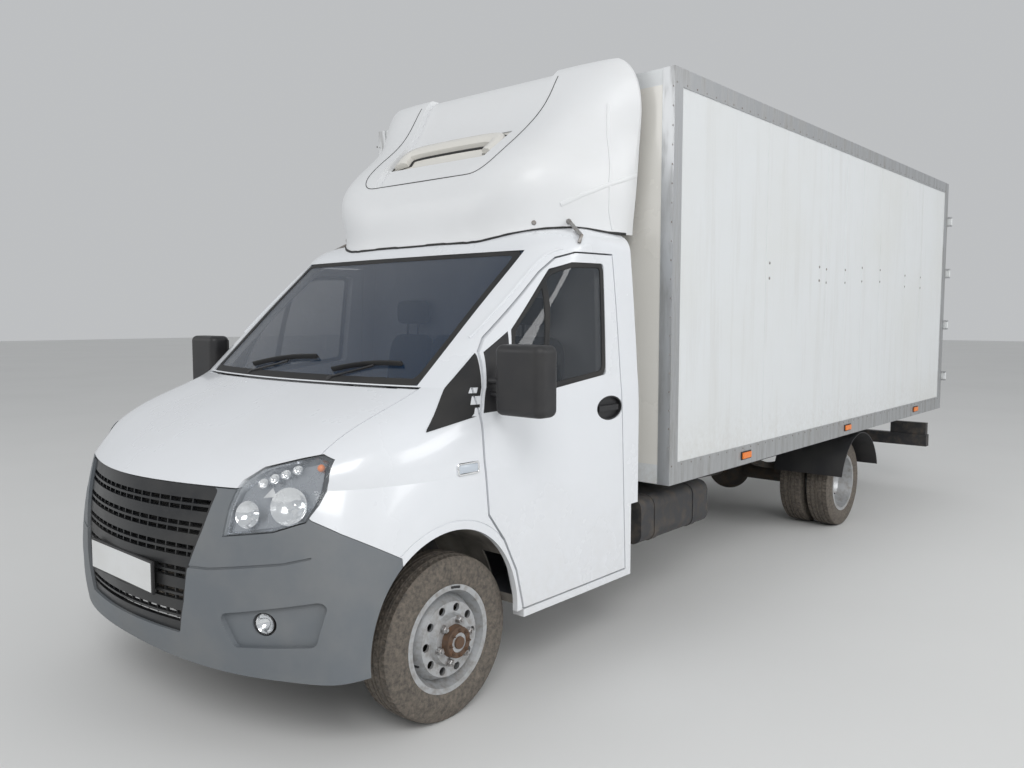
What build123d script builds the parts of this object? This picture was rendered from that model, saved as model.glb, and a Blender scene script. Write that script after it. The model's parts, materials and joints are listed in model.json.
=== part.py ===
"""Light refrigerated truck: a bonneted cab, an insulated cargo box and a cooling unit behind a roof fairing.

Millimetres. +Z is up, the truck faces -Y and +X is its left side. The origin lies on the
ground under the middle of the whole length. Lengths along the truck are first given from
the front axle, rearwards, and are moved to the frame by axle().
"""

import os
from math import cos, radians, sin

from build123d import *

os.makedirs("parts", exist_ok=True)

# Running gear
wheelbase = 4290.0
front_track = 1750.0
rear_track = 1560.0
dual_spacing = 212.0
tyre_radius = 338.0
tyre_width = 185.0
tyre_tread_width = 144.0
bulge_radius = 268.0
rim_radius = 203.0
rim_flange_radius = 220.0
rim_width = 164.0
rim_well_radius = 176.0
hole_face = 82.0
disc_thickness = 12.0
disc_seat = 30.0
wheel_offset = 106.0
hand_hole_radius = 17.0
hand_hole_circle = 128.0
hand_hole_count = 10
hub_radius = 62.0
spindle_radius = 24.0
running_clearance = 0.3
moving_clearance = 5.0
kingpin_x = 835.0
steering_arm = 110.0

# Chassis frame
rail_outer_x = 400.0
rail_height = 180.0
rail_flange = 65.0
rail_web = 6.0
rail_bottom_z = 480.0
rail_front = -700.0
rail_rear_margin = 90.0
crossmember_height = 90.0
crossmember_length = 60.0
crossmember_places = (-600.0, 230.0, 1300.0, 2100.0, 2900.0, 3600.0, 4980.0, 6150.0)
runner_width = 60.0
horn_length = 80.0
tow_pin_radius = 14.0
tow_bolt_radius = 7.0
tow_bolt_spacing_x = 160.0
tow_bolt_spacing_z = 50.0
axle_beam_half = 34.0
axle_beam_height = 60.0
kingpin_radius = 12.0
kingpin_boss_radius = 32.0
kingpin_boss_height = 92.0
spring_width = 70.0
spring_thickness = 42.0
spring_half_length = 620.0
front_spring_x = 367.5
rear_spring_x = 470.0
rear_tube_radius = 60.0
rear_spindle_radius = 30.0

# Cab
cab_half_width = 1034.0
cab_rear = 1250.0
cab_wall = 60.0
panel_gap = 8.0
pillar_x = 868.0
nose_z = 1010.0
cowl_z = 1345.0
header_z = 1940.0
cab_height = 2062.0
hood_thickness = 22.0
hood_half_width = 812.0
hood_hinge_y = -30.0
hood_opening = 45
hood_hinge_z = 1322.0
hood_hinge_x = 700.0
hood_pin_radius = 6.0
glass_depth = 8.0
glass_thickness = 5.0
bumper_thickness = 34.0
bumper_lap = 20.0
front_overhang = 873.6
arch_centre_y = -62.0
arch_centre_z = 398.0
arch_half_length = 392.0
arch_height = 408.0
liner_inner_x = 560.0
liner_grow = 16.0
liner_shift = 16.0
fender_thickness = 26.0
flare_width = 32.0
flare_depth = 3.0
floor_z = 700.0
floor_thickness = 40.0
firewall_y = 100.0
firewall_thickness = 30.0

wheelhouse_y = 388.0
wheelhouse_z = 830.0
firewall_top_z = 1290.0
step_z = 400.0
fog_lamp_radius = 42.0
fog_lamp_x = 742.0
fog_lamp_z = 542.0
fog_recess = 16.0
crease_depth = 5.0
grille_row_count = 6
grille_low_z = 497.0
grille_pitch = 84.0
grille_slot = 17.0
grille_bar = 9.0
grille_edge = 22.0
grille_rib_count = 15
grille_rib_pitch = 58.0

mirror_panel_depth = 40.0
mirror_y = 190.0
mirror_root_x = 985.0
mirror_inner_x = 1072.0
mirror_outer_x = 1322.0
mirror_depth = 120.0
mirror_glass_depth = 8.0
mirror_arm_levels = (1315.0, 1370.0)
mirror_bottom_z = 1240.0
mirror_top_z = 1520.0
handle_y = 1000.0
handle_z = 1196.0
handle_x = 1008.0
handle_length = 210.0
handle_height = 116.0
dash_half_width = 900.0
steering_x = 430.0
steering_y = 560.0
steering_z = 1190.0
column_slope = 0.9
wheel_rim_radius = 195.0
wheel_grip_radius = 14.0
wheel_hub_radius = 62.0
seat_inner_x = 190.0
seat_outer_x = 670.0
gearbox_rear = 700.0
shaft_front_z = 480.0
radiator_half_width = 360.0
brake_radius = 140.0
arm_z = 296.0
track_rod_z = 262.0

# Cargo box
box_front = 1399.0
box_length = 4925.0
box_width = 2250.0
box_height = 2088.0
box_bottom_z = 769.0
side_wall = 60.0
front_wall = 80.0
roof_wall = 80.0
floor_wall = 100.0
trim_thickness = 5.0
top_rail_height = 90.0
bottom_rail_height = 112.0
post_face = 80.0
portal_depth = 100.0
portal_post = 70.0
portal_head = 100.0
cargo_door_thickness = 70.0
cargo_door_gap = 6.0
hinge_pin_out = 22.0
hinge_pin_back = 30.0
hinge_barrel_radius = 12.0
hinge_pin_radius = 6.0
hinge_count = 4
portal_sill = 60.0
hinge_height = 60.0
seat_clearance = 0.4
door_clearance = 6.0
front_post_width = 70.0
lock_bar_places = (150.0, 760.0)
lock_bar_radius = 11.0
fairing_rear = 1342.0
fairing_thickness = 10.0
fairing_recess = 26.0
fairing_front_z = 1984.0
fairing_side_z = 2040.0
unit_half_width = 500.0
unit_bottom_z = 2220.0

# Beside and behind the frame
tank_front = 1340.0
tank_rear = 2040.0
tank_inner_x = 520.0
tank_outer_x = 1000.0
tank_bottom_z = 447.0
tank_top_z = 690.0
exhaust_x = -230.0
mudguard_radius = 405.0
mudguard_inner_x = 570.0
mudguard_outer_x = 1095.0
underrun_half_width = 1040.0
underrun_y = 6234.0
underrun_z = 400.0
underrun_height = 110.0
tail_lamp_height = 112.0

# Worked out
box_rear = box_front + box_length
rear_extent = box_rear + hinge_pin_back + hinge_barrel_radius
overall_length = front_overhang + rear_extent
front_axle_y = front_overhang - overall_length / 2
box_top_z = box_bottom_z + box_height
box_half = box_width / 2
front_wheel_x = front_track / 2
rear_wheel_x = rear_track / 2
rail_top_z = rail_bottom_z + rail_height


def axle(y):
    """A place given rearwards from the front axle, in the frame."""
    return front_axle_y + y


def block(x0, x1, y0, y1, z0, z1):
    """A plain block between two corners, its y given from the front axle."""
    solid = Box(x1 - x0, y1 - y0, z1 - z0, mode=Mode.PRIVATE)
    return Location(((x0 + x1) / 2, axle((y0 + y1) / 2), (z0 + z1) / 2)) * solid


# Outlines of the cab at several heights: the nose from the middle to the side, from the front axle
BUMPER_SLICES = (
    (345, (0, -832), (400, -806), (660, -742), (880, -640), (985, -560), (1018, -470), (1034, -360)),
    (600, (0, -885), (420, -832), (680, -752), (880, -640), (985, -540), (1022, -440), (1034, -330)),
    (850, (0, -870), (440, -808), (640, -740), (820, -640), (930, -540), (995, -410), (1034, -200)),
    (1010, (0, -850), (480, -762), (650, -695), (790, -605), (890, -500), (965, -360), (1034, -60)),
)
HOOD_SLICES = (
    BUMPER_SLICES[-1],
    (1145, (0, -640), (400, -600), (700, -535), (850, -455), (930, -360), (985, -230), (1034, 30)),
    (1240, (0, -420), (400, -390), (700, -340), (830, -275), (920, -180), (980, -60), (1032, 130)),
    (1345, (0, -120), (400, -95), (700, -45), (830, -8), (925, 40), (990, 110), (1024, 240)),
)
SCREEN_SLICES = (
    HOOD_SLICES[-1],
    (1640, (0, 236), (400, 252), (700, 282), (830, 308), (905, 350), (966, 420), (1002, 540)),
    (1940, (0, 600), (400, 606), (700, 620), (830, 640), (885, 672), (940, 730), (975, 840)),
)
ROOF_SLICES = (
    SCREEN_SLICES[-1],
    (1990, (0, 662), (380, 666), (680, 680), (810, 698), (868, 728), (925, 786), (962, 880)),
    (2030, (0, 752), (350, 755), (640, 768), (760, 785), (820, 812), (878, 866), (920, 940)),
    (2062, (0, 900), (300, 902), (560, 912), (680, 926), (730, 948), (785, 985), (820, 1040)),
)

# Side outlines of y and z, and front outlines of x and z
DOOR_OUTLINE = (
    (372, 382), (360, 430), (325, 561), (249, 706), (152, 828), (123, 1057), (110, 1235), (199, 1484),
    (247, 1540), (400, 1665), (592, 1825), (692, 1894), (800, 1922), (1088, 1926), (1101, 1226), (1143, 382),
)
WINDOW_OUTLINE = ((980, 1357), (566, 1312), (250, 1290), (355, 1574), (640, 1842), (770, 1876), (1012, 1880))
MIRROR_PANEL_OUTLINE = ((126, 1245), (236, 1250), (340, 1568), (214, 1484))
SCREEN_OUTLINE = ((-794, 1350), (794, 1350), (818, 1930), (-818, 1930))
LAMP_OUTLINE = (
    (585, 846), (590, 940), (612, 1037), (655, 1082), (765, 1116), (820, 1130), (862, 1114), (873, 1045),
    (868, 965), (850, 908), (760, 872),
)
GRILLE_OUTLINE = ((-379, 457), (379, 457), (419, 590), (434, 701), (492, 856), (533, 1009), (-533, 1009),
                  (-492, 856), (-434, 701), (-419, 590))
BUMPER_EDGE = ((-310, 748), (-428, 815), (-516, 865), (-585, 912), (-640, 1009))
FOG_RECESS = ((580, 566), (955, 642), (925, 478), (640, 450))
BUMPER_CREASE = ((420, 722), (540, 728), (710, 754), (810, 768), (890, 790), (890, 782), (810, 759), (710, 745),
                 (540, 719), (420, 713))


def nose_slice(level, inset):
    """The cab's outline at one height, drawn in by inset."""
    z, *half = level
    side = half[-1][0]
    if z > header_z:
        z = header_z + (z - header_z) * (1 - inset / (cab_height - header_z))
    back = axle(cab_rear - inset)
    pts = [(x * (side - inset) / side, axle(y + inset)) for x, y in half]
    edge, last = pts[-1]
    pts += [(edge, last + (back - last) / 3), (edge, last + (back - last) * 2 / 3), (edge, back)]
    right = [(-x, y) for x, y in pts[:0:-1]]
    with BuildSketch(Plane.XY.offset(z), mode=Mode.PRIVATE) as outline:
        with BuildLine():
            Spline(*right, *pts, tangents=[(0, -1), (0, 1)])
            Line(pts[-1], right[0])
        make_face()
    return outline.sketch


def cab_zone(levels, inset):
    """One storey of the cab between the heights of its outlines, drawn in by inset."""
    sections = [nose_slice(level, inset) for level in levels]
    with BuildPart(mode=Mode.PRIVATE) as zone:
        loft(sections=sections)
    return zone.part


def zone_shell(levels, outer, inner):
    """One storey's shell between two depths under its surface."""
    return cab_zone(levels, outer) - cab_zone(levels, inner)


def grille_half(z):
    """The grille opening's half width at one height."""
    edge = GRILLE_OUTLINE[1:6]
    for (x0, z0), (x1, z1) in zip(edge, edge[1:]):
        if z <= z1:
            break
    return x0 + (x1 - x0) * (z - z0) / (z1 - z0)


def side_prism(points, x0, x1, grow=0.0, radius=0.0):
    """A side outline of y and z from the front axle, carried from x0 to x1."""
    with BuildPart(mode=Mode.PRIVATE) as prism:
        with BuildSketch(Plane.YZ.offset(x0)) as side:
            with BuildLine():
                Polyline(*[(axle(y), z) for y, z in points], close=True)
            make_face()
            if radius:
                fillet(side.vertices(), radius)
            if grow:
                offset(amount=grow, kind=Kind.INTERSECTION)
        extrude(amount=x1 - x0)
    return prism.part


def front_prism(points, y0, y1, grow=0.0, radius=0.0):
    """A front outline of x and z, carried from y0 back to y1, both from the front axle."""
    with BuildPart(mode=Mode.PRIVATE) as prism:
        with BuildSketch(Plane.XZ.offset(-axle(y1))) as face:
            with BuildLine():
                Polyline(*points, close=True)
            make_face()
            if radius:
                fillet(face.vertices(), radius)
            if grow:
                offset(amount=grow, kind=Kind.INTERSECTION)
        extrude(amount=y1 - y0)
    return prism.part


def rod(start, end, radius):
    """A round bar between two points, their y given from the front axle."""
    a = Vector(start[0], axle(start[1]), start[2])
    b = Vector(end[0], axle(end[1]), end[2])
    with BuildPart(mode=Mode.PRIVATE) as bar:
        with BuildSketch(Plane(origin=a, z_dir=b - a)):
            Circle(radius)
        extrude(amount=(b - a).length)
    return bar.part


def mirrored(part):
    """The same piece on the other side."""
    return Compound(children=[solid.mirror(Plane.YZ) for solid in part.solids()])


def pair(part):
    """A piece and its mirror image, for one node."""
    return Compound(children=[*part.solids(), *mirrored(part).solids()])


def save(part, name):
    """Names a finished piece and writes it."""
    part.label = name
    export_step(part, f"parts/{name}.step")


def save_sides(part, name):
    """Writes a left piece and its mirror image."""
    save(part, f"{name}_left")
    save(mirrored(part), f"{name}_right")


# Cab skin
half_gap = panel_gap / 2
reach = cab_half_width + 60
bumper_wall = zone_shell(BUMPER_SLICES, 0, cab_wall)
hood_wall = zone_shell(HOOD_SLICES, 0, cab_wall)
screen_wall = zone_shell(SCREEN_SLICES, 0, cab_wall)
screen_opening = front_prism(SCREEN_OUTLINE, -200, cab_rear - 200)
door_opening = side_prism(DOOR_OUTLINE, pillar_x, reach, grow=half_gap)
door_blank = side_prism(DOOR_OUTLINE, pillar_x, reach, grow=-half_gap)
window_hole = side_prism(WINDOW_OUTLINE, pillar_x, reach, radius=18)

with BuildPart() as cab_side:
    add(bumper_wall)
    add(hood_wall)
    add(side_prism(((DOOR_OUTLINE[0]), *DOOR_OUTLINE[1:7], (109, 1400), (cab_rear, 1400), (cab_rear, 340),
                    (372, 340)), 500, reach), mode=Mode.INTERSECT)
    add(screen_wall)
    add(block(0, reach, -400, cab_rear - cab_wall, 300, header_z), mode=Mode.INTERSECT)
    add(screen_opening, mode=Mode.SUBTRACT)
    add(door_opening, mode=Mode.SUBTRACT)
save_sides(cab_side.part, "cab_side")


# Cab: roof, rear wall and floor
with BuildPart() as cab_roof:
    add(zone_shell(ROOF_SLICES, 0, cab_wall))
save(cab_roof.part, "cab_roof")

with BuildPart() as cab_rear_wall:
    add(cab_zone(BUMPER_SLICES, 0))
    add(cab_zone(HOOD_SLICES, 0))
    add(cab_zone(SCREEN_SLICES, 0))
    add(block(-reach, reach, cab_rear - cab_wall, cab_rear, floor_z, header_z), mode=Mode.INTERSECT)
save(cab_rear_wall.part, "cab_rear_wall")

inside_x = cab_half_width - cab_wall
floor_top = floor_z + floor_thickness
lining = cab_wall + door_clearance
cab_interior = cab_zone(BUMPER_SLICES, lining) + cab_zone(HOOD_SLICES, lining)
step_x = 700.0
with BuildPart() as cab_floor:
    with BuildSketch(Plane.YZ.offset(-inside_x)):
        with BuildLine():
            Polyline(*[(axle(y), z) for y, z in (
                (cab_rear - cab_wall, floor_z), (wheelhouse_y - 30, floor_z),
                (wheelhouse_y - 30, wheelhouse_z), (firewall_y, wheelhouse_z), (firewall_y, firewall_top_z),
                (firewall_y + firewall_thickness, firewall_top_z),
                (firewall_y + firewall_thickness, wheelhouse_z + 30), (wheelhouse_y, wheelhouse_z + 30),
                (wheelhouse_y, floor_top), (cab_rear - cab_wall, floor_top))], close=True)
        make_face()
    extrude(amount=2 * inside_x)
    for side in (1, -1):
        x0, x1 = sorted((side * step_x, side * inside_x))
        add(block(x0, x1, wheelhouse_y + 35, cab_rear - 150, floor_z, floor_top), mode=Mode.SUBTRACT)
        add(block(x0, x1, wheelhouse_y + 5, cab_rear - 150, step_z, step_z + 20))
        w0, w1 = sorted((side * step_x, side * (step_x - 20)))
        add(block(w0, w1, wheelhouse_y + 5, cab_rear - 150, step_z, floor_z))
    add(cab_interior, mode=Mode.INTERSECT)
    add(block(20 - inside_x, inside_x - 20, cab_rear - cab_wall - 60, cab_rear - cab_wall, floor_z, floor_top))
    for side in (1, -1):
        x0, x1 = sorted((side * (hood_hinge_x + 1), side * (hood_hinge_x + 13)))
        add(block(x0, x1, hood_hinge_y - 10, firewall_y + 5, hood_hinge_z - 50, hood_hinge_z + 8))
        add(rod((side * (hood_hinge_x - 18), hood_hinge_y, hood_hinge_z),
                (side * (hood_hinge_x + 5), hood_hinge_y, hood_hinge_z), hood_pin_radius))
        x0, x1 = sorted((side * (rail_outer_x - rail_flange + 5), side * (rail_outer_x - 5)))
        for y in (450, 1130):
            add(block(x0, x1, y - 35, y + 35, rail_top_z, floor_z))
save(cab_floor.part, "cab_floor")

# Windscreen
with BuildPart() as windscreen:
    add(zone_shell(SCREEN_SLICES, glass_depth, glass_depth + glass_thickness))
    add(screen_opening, mode=Mode.INTERSECT)
save(windscreen.part, "windscreen")

# Nose: wings, bumper, lamps, grille and hood
lamp_blank = front_prism(LAMP_OUTLINE, -800, -100)
lamp_hole = front_prism(LAMP_OUTLINE, -900, -100, grow=half_gap)
grille_hole = front_prism(GRILLE_OUTLINE, -front_overhang - 20, -600, radius=14)
with BuildPart() as arch_cut:
    with BuildSketch(Plane.YZ.offset(560)):
        with Locations((axle(arch_centre_y), arch_centre_z)):
            Ellipse(arch_half_length, arch_height)
            with Locations((0, -arch_height / 2)):
                Rectangle(2 * arch_half_length * 0.985, arch_height)
    extrude(amount=reach)
with BuildPart() as flare_ring:
    with BuildSketch(Plane.YZ.offset(700)):
        with Locations((axle(arch_centre_y), arch_centre_z)):
            Ellipse(arch_half_length + flare_width + 5, arch_height + flare_width + 5)
            Ellipse(arch_half_length + flare_width, arch_height + flare_width, mode=Mode.SUBTRACT)
    extrude(amount=reach)
flare_groove = flare_ring.part & zone_shell(BUMPER_SLICES, -5, flare_depth)
hood_edge = hood_half_width + half_gap
fender_walls = zone_shell(BUMPER_SLICES, 0, fender_thickness) + zone_shell(HOOD_SLICES, 0, fender_thickness)
with BuildPart() as fender:
    add(fender_walls)
    add(side_prism((*[(y + half_gap, z) for y, z in reversed(BUMPER_EDGE)], (-280, 340),
                    *[(y - panel_gap, z) for y, z in DOOR_OUTLINE[0:7]],
                    (109 - panel_gap, cowl_z), (-900, cowl_z), (-900, nose_z)), 300, reach),
        mode=Mode.INTERSECT)
    add(block(0, hood_edge, -900, 200, nose_z - 1, cowl_z + 1), mode=Mode.SUBTRACT)
    add(lamp_hole, mode=Mode.SUBTRACT)
    add(block(0, 700, -900, 200, 300, cowl_z), mode=Mode.SUBTRACT)
    add(door_opening, mode=Mode.SUBTRACT)
    add(arch_cut.part, mode=Mode.SUBTRACT)
    add(flare_groove, mode=Mode.SUBTRACT)
save(pair(fender.part), "fenders")

with BuildPart() as arch_liner:
    with BuildSketch(Plane.YZ.offset(liner_inner_x)):
        with Locations((axle(arch_centre_y + liner_shift), arch_centre_z)):
            Ellipse(arch_half_length + liner_grow, arch_height + 4)
            Ellipse(arch_half_length + liner_grow - 6, arch_height - 2, mode=Mode.SUBTRACT)
        with Locations((axle(arch_centre_y), arch_centre_z - 300)):
            Rectangle(1000, 600, mode=Mode.SUBTRACT)
    extrude(amount=1000)
    add(cab_zone(BUMPER_SLICES, fender_thickness + seat_clearance), mode=Mode.INTERSECT)
    add(door_opening, mode=Mode.SUBTRACT)
save(pair(arch_liner.part), "arch_liners")

lamp_flange = front_prism(LAMP_OUTLINE, -800, -300, grow=10)
with BuildPart() as headlamp:
    for levels in (BUMPER_SLICES, HOOD_SLICES):
        add(zone_shell(levels, 3, 50) & lamp_blank)
    add(zone_shell(BUMPER_SLICES, bumper_thickness + seat_clearance, 50) & lamp_flange)
save(pair(headlamp.part), "headlamps")

bumper_skin = zone_shell(BUMPER_SLICES, 0, bumper_thickness) & side_prism(
    ((-990, 340), (-280, 340), *BUMPER_EDGE, (-990, nose_z - 1)), -reach, reach)
bumper_lip = zone_shell(BUMPER_SLICES, fender_thickness + seat_clearance, bumper_thickness) & side_prism(
    ((-280 + bumper_lap, 340), *[(y + bumper_lap, z) for y, z in BUMPER_EDGE[:4]], (-640, 912), (-640, 340)),
    -reach, reach)
bumper_front = -front_overhang - 20
recess_cut = front_prism(FOG_RECESS, bumper_front, -400, radius=26) & zone_shell(BUMPER_SLICES, -5, fog_recess)
crease_cut = front_prism(BUMPER_CREASE, bumper_front, -400) & zone_shell(BUMPER_SLICES, -5, crease_depth)
with BuildPart() as front_bumper:
    add(bumper_skin)
    add(bumper_lip)
    for hole in (lamp_hole, arch_cut.part, recess_cut, crease_cut):
        add(hole, mode=Mode.SUBTRACT)
        add(mirrored(hole), mode=Mode.SUBTRACT)
    add(grille_hole, mode=Mode.SUBTRACT)
    with Locations((fog_lamp_x, axle(-740), fog_lamp_z), (-fog_lamp_x, axle(-740), fog_lamp_z)):
        Cylinder(fog_lamp_radius, 400, rotation=(90, 0, 0), mode=Mode.SUBTRACT)
    horn_tip = rail_front - horn_length
    for side in (1, -1):
        x0, x1 = sorted((side * (rail_outer_x - rail_flange), side * 500))
        add(block(x0, x1, horn_tip - 6, horn_tip, 540, 600))
save(front_bumper.part, "front_bumper")

with BuildPart() as grille:
    add(zone_shell(BUMPER_SLICES, 12, 30))
    add(grille_hole, mode=Mode.INTERSECT)
    for row in range(grille_row_count):
        low = grille_low_z + row * grille_pitch
        for z in (low, low + grille_slot + grille_bar):
            half_low, half_high = (grille_half(level) - grille_edge for level in (z, z + grille_slot))
            add(front_prism(((-half_low, z), (half_low, z), (half_high, z + grille_slot),
                             (-half_high, z + grille_slot)), bumper_front, -600), mode=Mode.SUBTRACT)
with BuildPart() as ribs:
    add(zone_shell(BUMPER_SLICES, 18, 28))
    add(front_prism(GRILLE_OUTLINE, bumper_front, -600, grow=-12), mode=Mode.INTERSECT)
    with BuildPart(mode=Mode.PRIVATE) as rib_set:
        with GridLocations(grille_rib_pitch, 1, grille_rib_count, 1):
            with Locations((0, axle(-800), (grille_low_z + nose_z) / 2)):
                Box(6, 400, nose_z - grille_low_z - 20)
    add(rib_set.part, mode=Mode.INTERSECT)
save(grille.part + ribs.part, "grille")

with BuildPart() as hood:
    add(zone_shell(HOOD_SLICES, 0, hood_thickness))
    add(block(-hood_half_width, hood_half_width, -900, 300, nose_z + half_gap, cowl_z - panel_gap),
        mode=Mode.INTERSECT)
    add(lamp_hole, mode=Mode.SUBTRACT)
    add(mirrored(lamp_hole), mode=Mode.SUBTRACT)
    for side in (1, -1):
        x0, x1 = sorted((side * hood_hinge_x, side * (hood_hinge_x - 16)))
        add(block(x0, x1, hood_hinge_y - 84, hood_hinge_y, hood_hinge_z - 26, hood_hinge_z - 4))
        add(rod((x0, hood_hinge_y, hood_hinge_z), (x1, hood_hinge_y, hood_hinge_z), 12))
        add(rod((x0 - 1, hood_hinge_y, hood_hinge_z), (x1 + 1, hood_hinge_y, hood_hinge_z),
                hood_pin_radius + running_clearance), mode=Mode.SUBTRACT)
    with BuildPart(mode=Mode.PRIVATE) as screen_foot:
        add(cab_zone(SCREEN_SLICES, -moving_clearance))
        add(block(-reach, reach, -200, 60, cowl_z, cowl_z + 110), mode=Mode.INTERSECT)
        add(Pos(0, 0, -moving_clearance) * screen_foot.part)
    for turn in range(3, hood_opening + 3, 3):
        add(screen_foot.part.rotate(Axis((0, axle(hood_hinge_y), hood_hinge_z), (1, 0, 0)), turn),
            mode=Mode.SUBTRACT)
save(hood.part, "hood")


def handle_oval(x0, x1, inset):
    """The door handle's oval, carried from x0 to x1."""
    with BuildPart(mode=Mode.PRIVATE) as oval:
        with BuildSketch(Plane.YZ.offset(x0)):
            with Locations((axle(handle_y), handle_z)):
                Ellipse(handle_length / 2 - inset, handle_height / 2 - inset)
        extrude(amount=x1 - x0)
    return oval.part


# Doors of the cab
mirror_panel_blank = side_prism(MIRROR_PANEL_OUTLINE, pillar_x, reach)
with BuildPart() as door:
    add(bumper_wall)
    add(hood_wall)
    add(screen_wall)
    add(door_blank, mode=Mode.INTERSECT)
    add(window_hole, mode=Mode.SUBTRACT)
    add(mirror_panel_blank, mode=Mode.SUBTRACT)
    add(handle_oval(handle_x, reach, 0), mode=Mode.SUBTRACT)
save_sides(door.part, "door")

with BuildPart() as door_glass:
    add(zone_shell(HOOD_SLICES, glass_depth, glass_depth + glass_thickness))
    add(zone_shell(SCREEN_SLICES, glass_depth, glass_depth + glass_thickness))
    add(window_hole, mode=Mode.INTERSECT)
save_sides(door_glass.part, "door_glass")

panel_low = zone_shell(HOOD_SLICES, 0, mirror_panel_depth) & mirror_panel_blank
panel_high = zone_shell(SCREEN_SLICES, 0, mirror_panel_depth) & mirror_panel_blank
with BuildPart() as mirror_case:
    with BuildSketch(Plane.XY.offset(mirror_bottom_z)):
        with Locations(((mirror_inner_x + mirror_outer_x) / 2, axle(mirror_y))):
            RectangleRounded(mirror_outer_x - mirror_inner_x, mirror_depth, 40)
    extrude(amount=mirror_top_z - mirror_bottom_z)
    fillet(mirror_case.edges().group_by(Axis.Z)[0] + mirror_case.edges().group_by(Axis.Z)[-1], 30)
    add(block(mirror_inner_x + 16, mirror_outer_x - 16, mirror_y + mirror_depth / 2 - mirror_glass_depth,
              mirror_y + mirror_depth, mirror_bottom_z + 22, mirror_top_z - 22), mode=Mode.SUBTRACT)
with BuildPart() as door_fittings:
    add(panel_low)
    add(panel_high)
    for z in mirror_arm_levels:
        add(rod((mirror_root_x, mirror_y, z), (mirror_inner_x + 40, mirror_y - 12, z), 13))
    add(mirror_case.part)
    add(handle_oval(handle_x, handle_x + 21, 0) - handle_oval(handle_x + 4, handle_x + 30, 6))
    add(block(handle_x + 1, handle_x + 24, handle_y + 44, handle_y + 72, handle_z - 13, handle_z + 13))
    add(block(handle_x + 14, handle_x + 24, handle_y - 84, handle_y + 72, handle_z - 13, handle_z + 13))
save_sides(door_fittings.part, "door_fittings")

# Dashboard with the steering column, and the seats
column_axis = Vector(0, 1, column_slope).normalized()
hub_back = 18
column_end = Vector(steering_x, steering_y, steering_z) - column_axis * (hub_back + seat_clearance)
with BuildPart() as dashboard:
    with BuildSketch(Plane.YZ.offset(-dash_half_width)):
        with BuildLine():
            Polyline(*[(axle(y), z) for y, z in (
                (firewall_y + firewall_thickness, 940), (firewall_y + firewall_thickness, 1262), (330, 1262),
                (408, 1225), (430, 1150), (404, 1010), (330, 940))], close=True)
        dash_face = make_face()
        fillet(dash_face.vertices().group_by(Axis.X)[-1], 20)
    extrude(amount=2 * dash_half_width)
    add(rod((steering_x, 380, steering_z - (steering_y - 380) * column_slope),
            (steering_x, column_end.Y, column_end.Z), 34))
save(dashboard.part, "dashboard")

with BuildPart() as steering_wheel:
    wheel_plane = Plane(origin=(steering_x, axle(steering_y), steering_z), x_dir=(1, 0, 0), z_dir=column_axis)
    with BuildSketch(Plane(origin=wheel_plane.origin + Vector(wheel_rim_radius, 0, 0), x_dir=(1, 0, 0),
                           z_dir=wheel_plane.y_dir)):
        RegularPolygon(wheel_grip_radius, 8)
    revolve(axis=Axis(wheel_plane.origin, column_axis))
    with BuildSketch(wheel_plane.offset(-hub_back)):
        Circle(wheel_hub_radius)
        for angle in (0, 180, 270):
            with Locations(Rot(0, 0, angle) * Pos((wheel_rim_radius + wheel_hub_radius) / 2 - 10, 0, 0)):
                Rectangle(wheel_rim_radius - wheel_hub_radius + 12, 34)
    extrude(amount=24)
save(steering_wheel.part, "steering_wheel")


def seat(x0, x1, head_width):
    """One seat between two sides, with its pedestal and head rests."""
    with BuildPart() as whole:
        with BuildSketch(Plane.YZ.offset(x0)):
            with BuildLine():
                Polyline(*[(axle(y), z) for y, z in (
                    (610, 900), (600, 985), (660, 1010), (985, 985), (1010, 1020), (1080, 1520), (1160, 1530),
                    (1165, 1470), (1110, 1000), (1090, 880), (640, 880))], close=True)
            cushion = make_face()
            fillet(cushion.vertices(), 22)
        extrude(amount=x1 - x0)
        add(block(x0 + 50, x1 - 50, 680, 1060, floor_top, 890))
        rests = round((x1 - x0) / 480)
        for place in range(rests):
            middle = x0 + (place + 0.5) * (x1 - x0) / rests
            add(block(middle - 50, middle + 50, 1100, 1140, 1500, 1590))
            add(block(middle - head_width / 2, middle + head_width / 2, 1085, 1165, 1580, 1730))
    return whole.part


save(Compound(children=[seat(seat_inner_x, seat_outer_x, 250), seat(-seat_outer_x, -60, 250)]), "seats")

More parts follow.
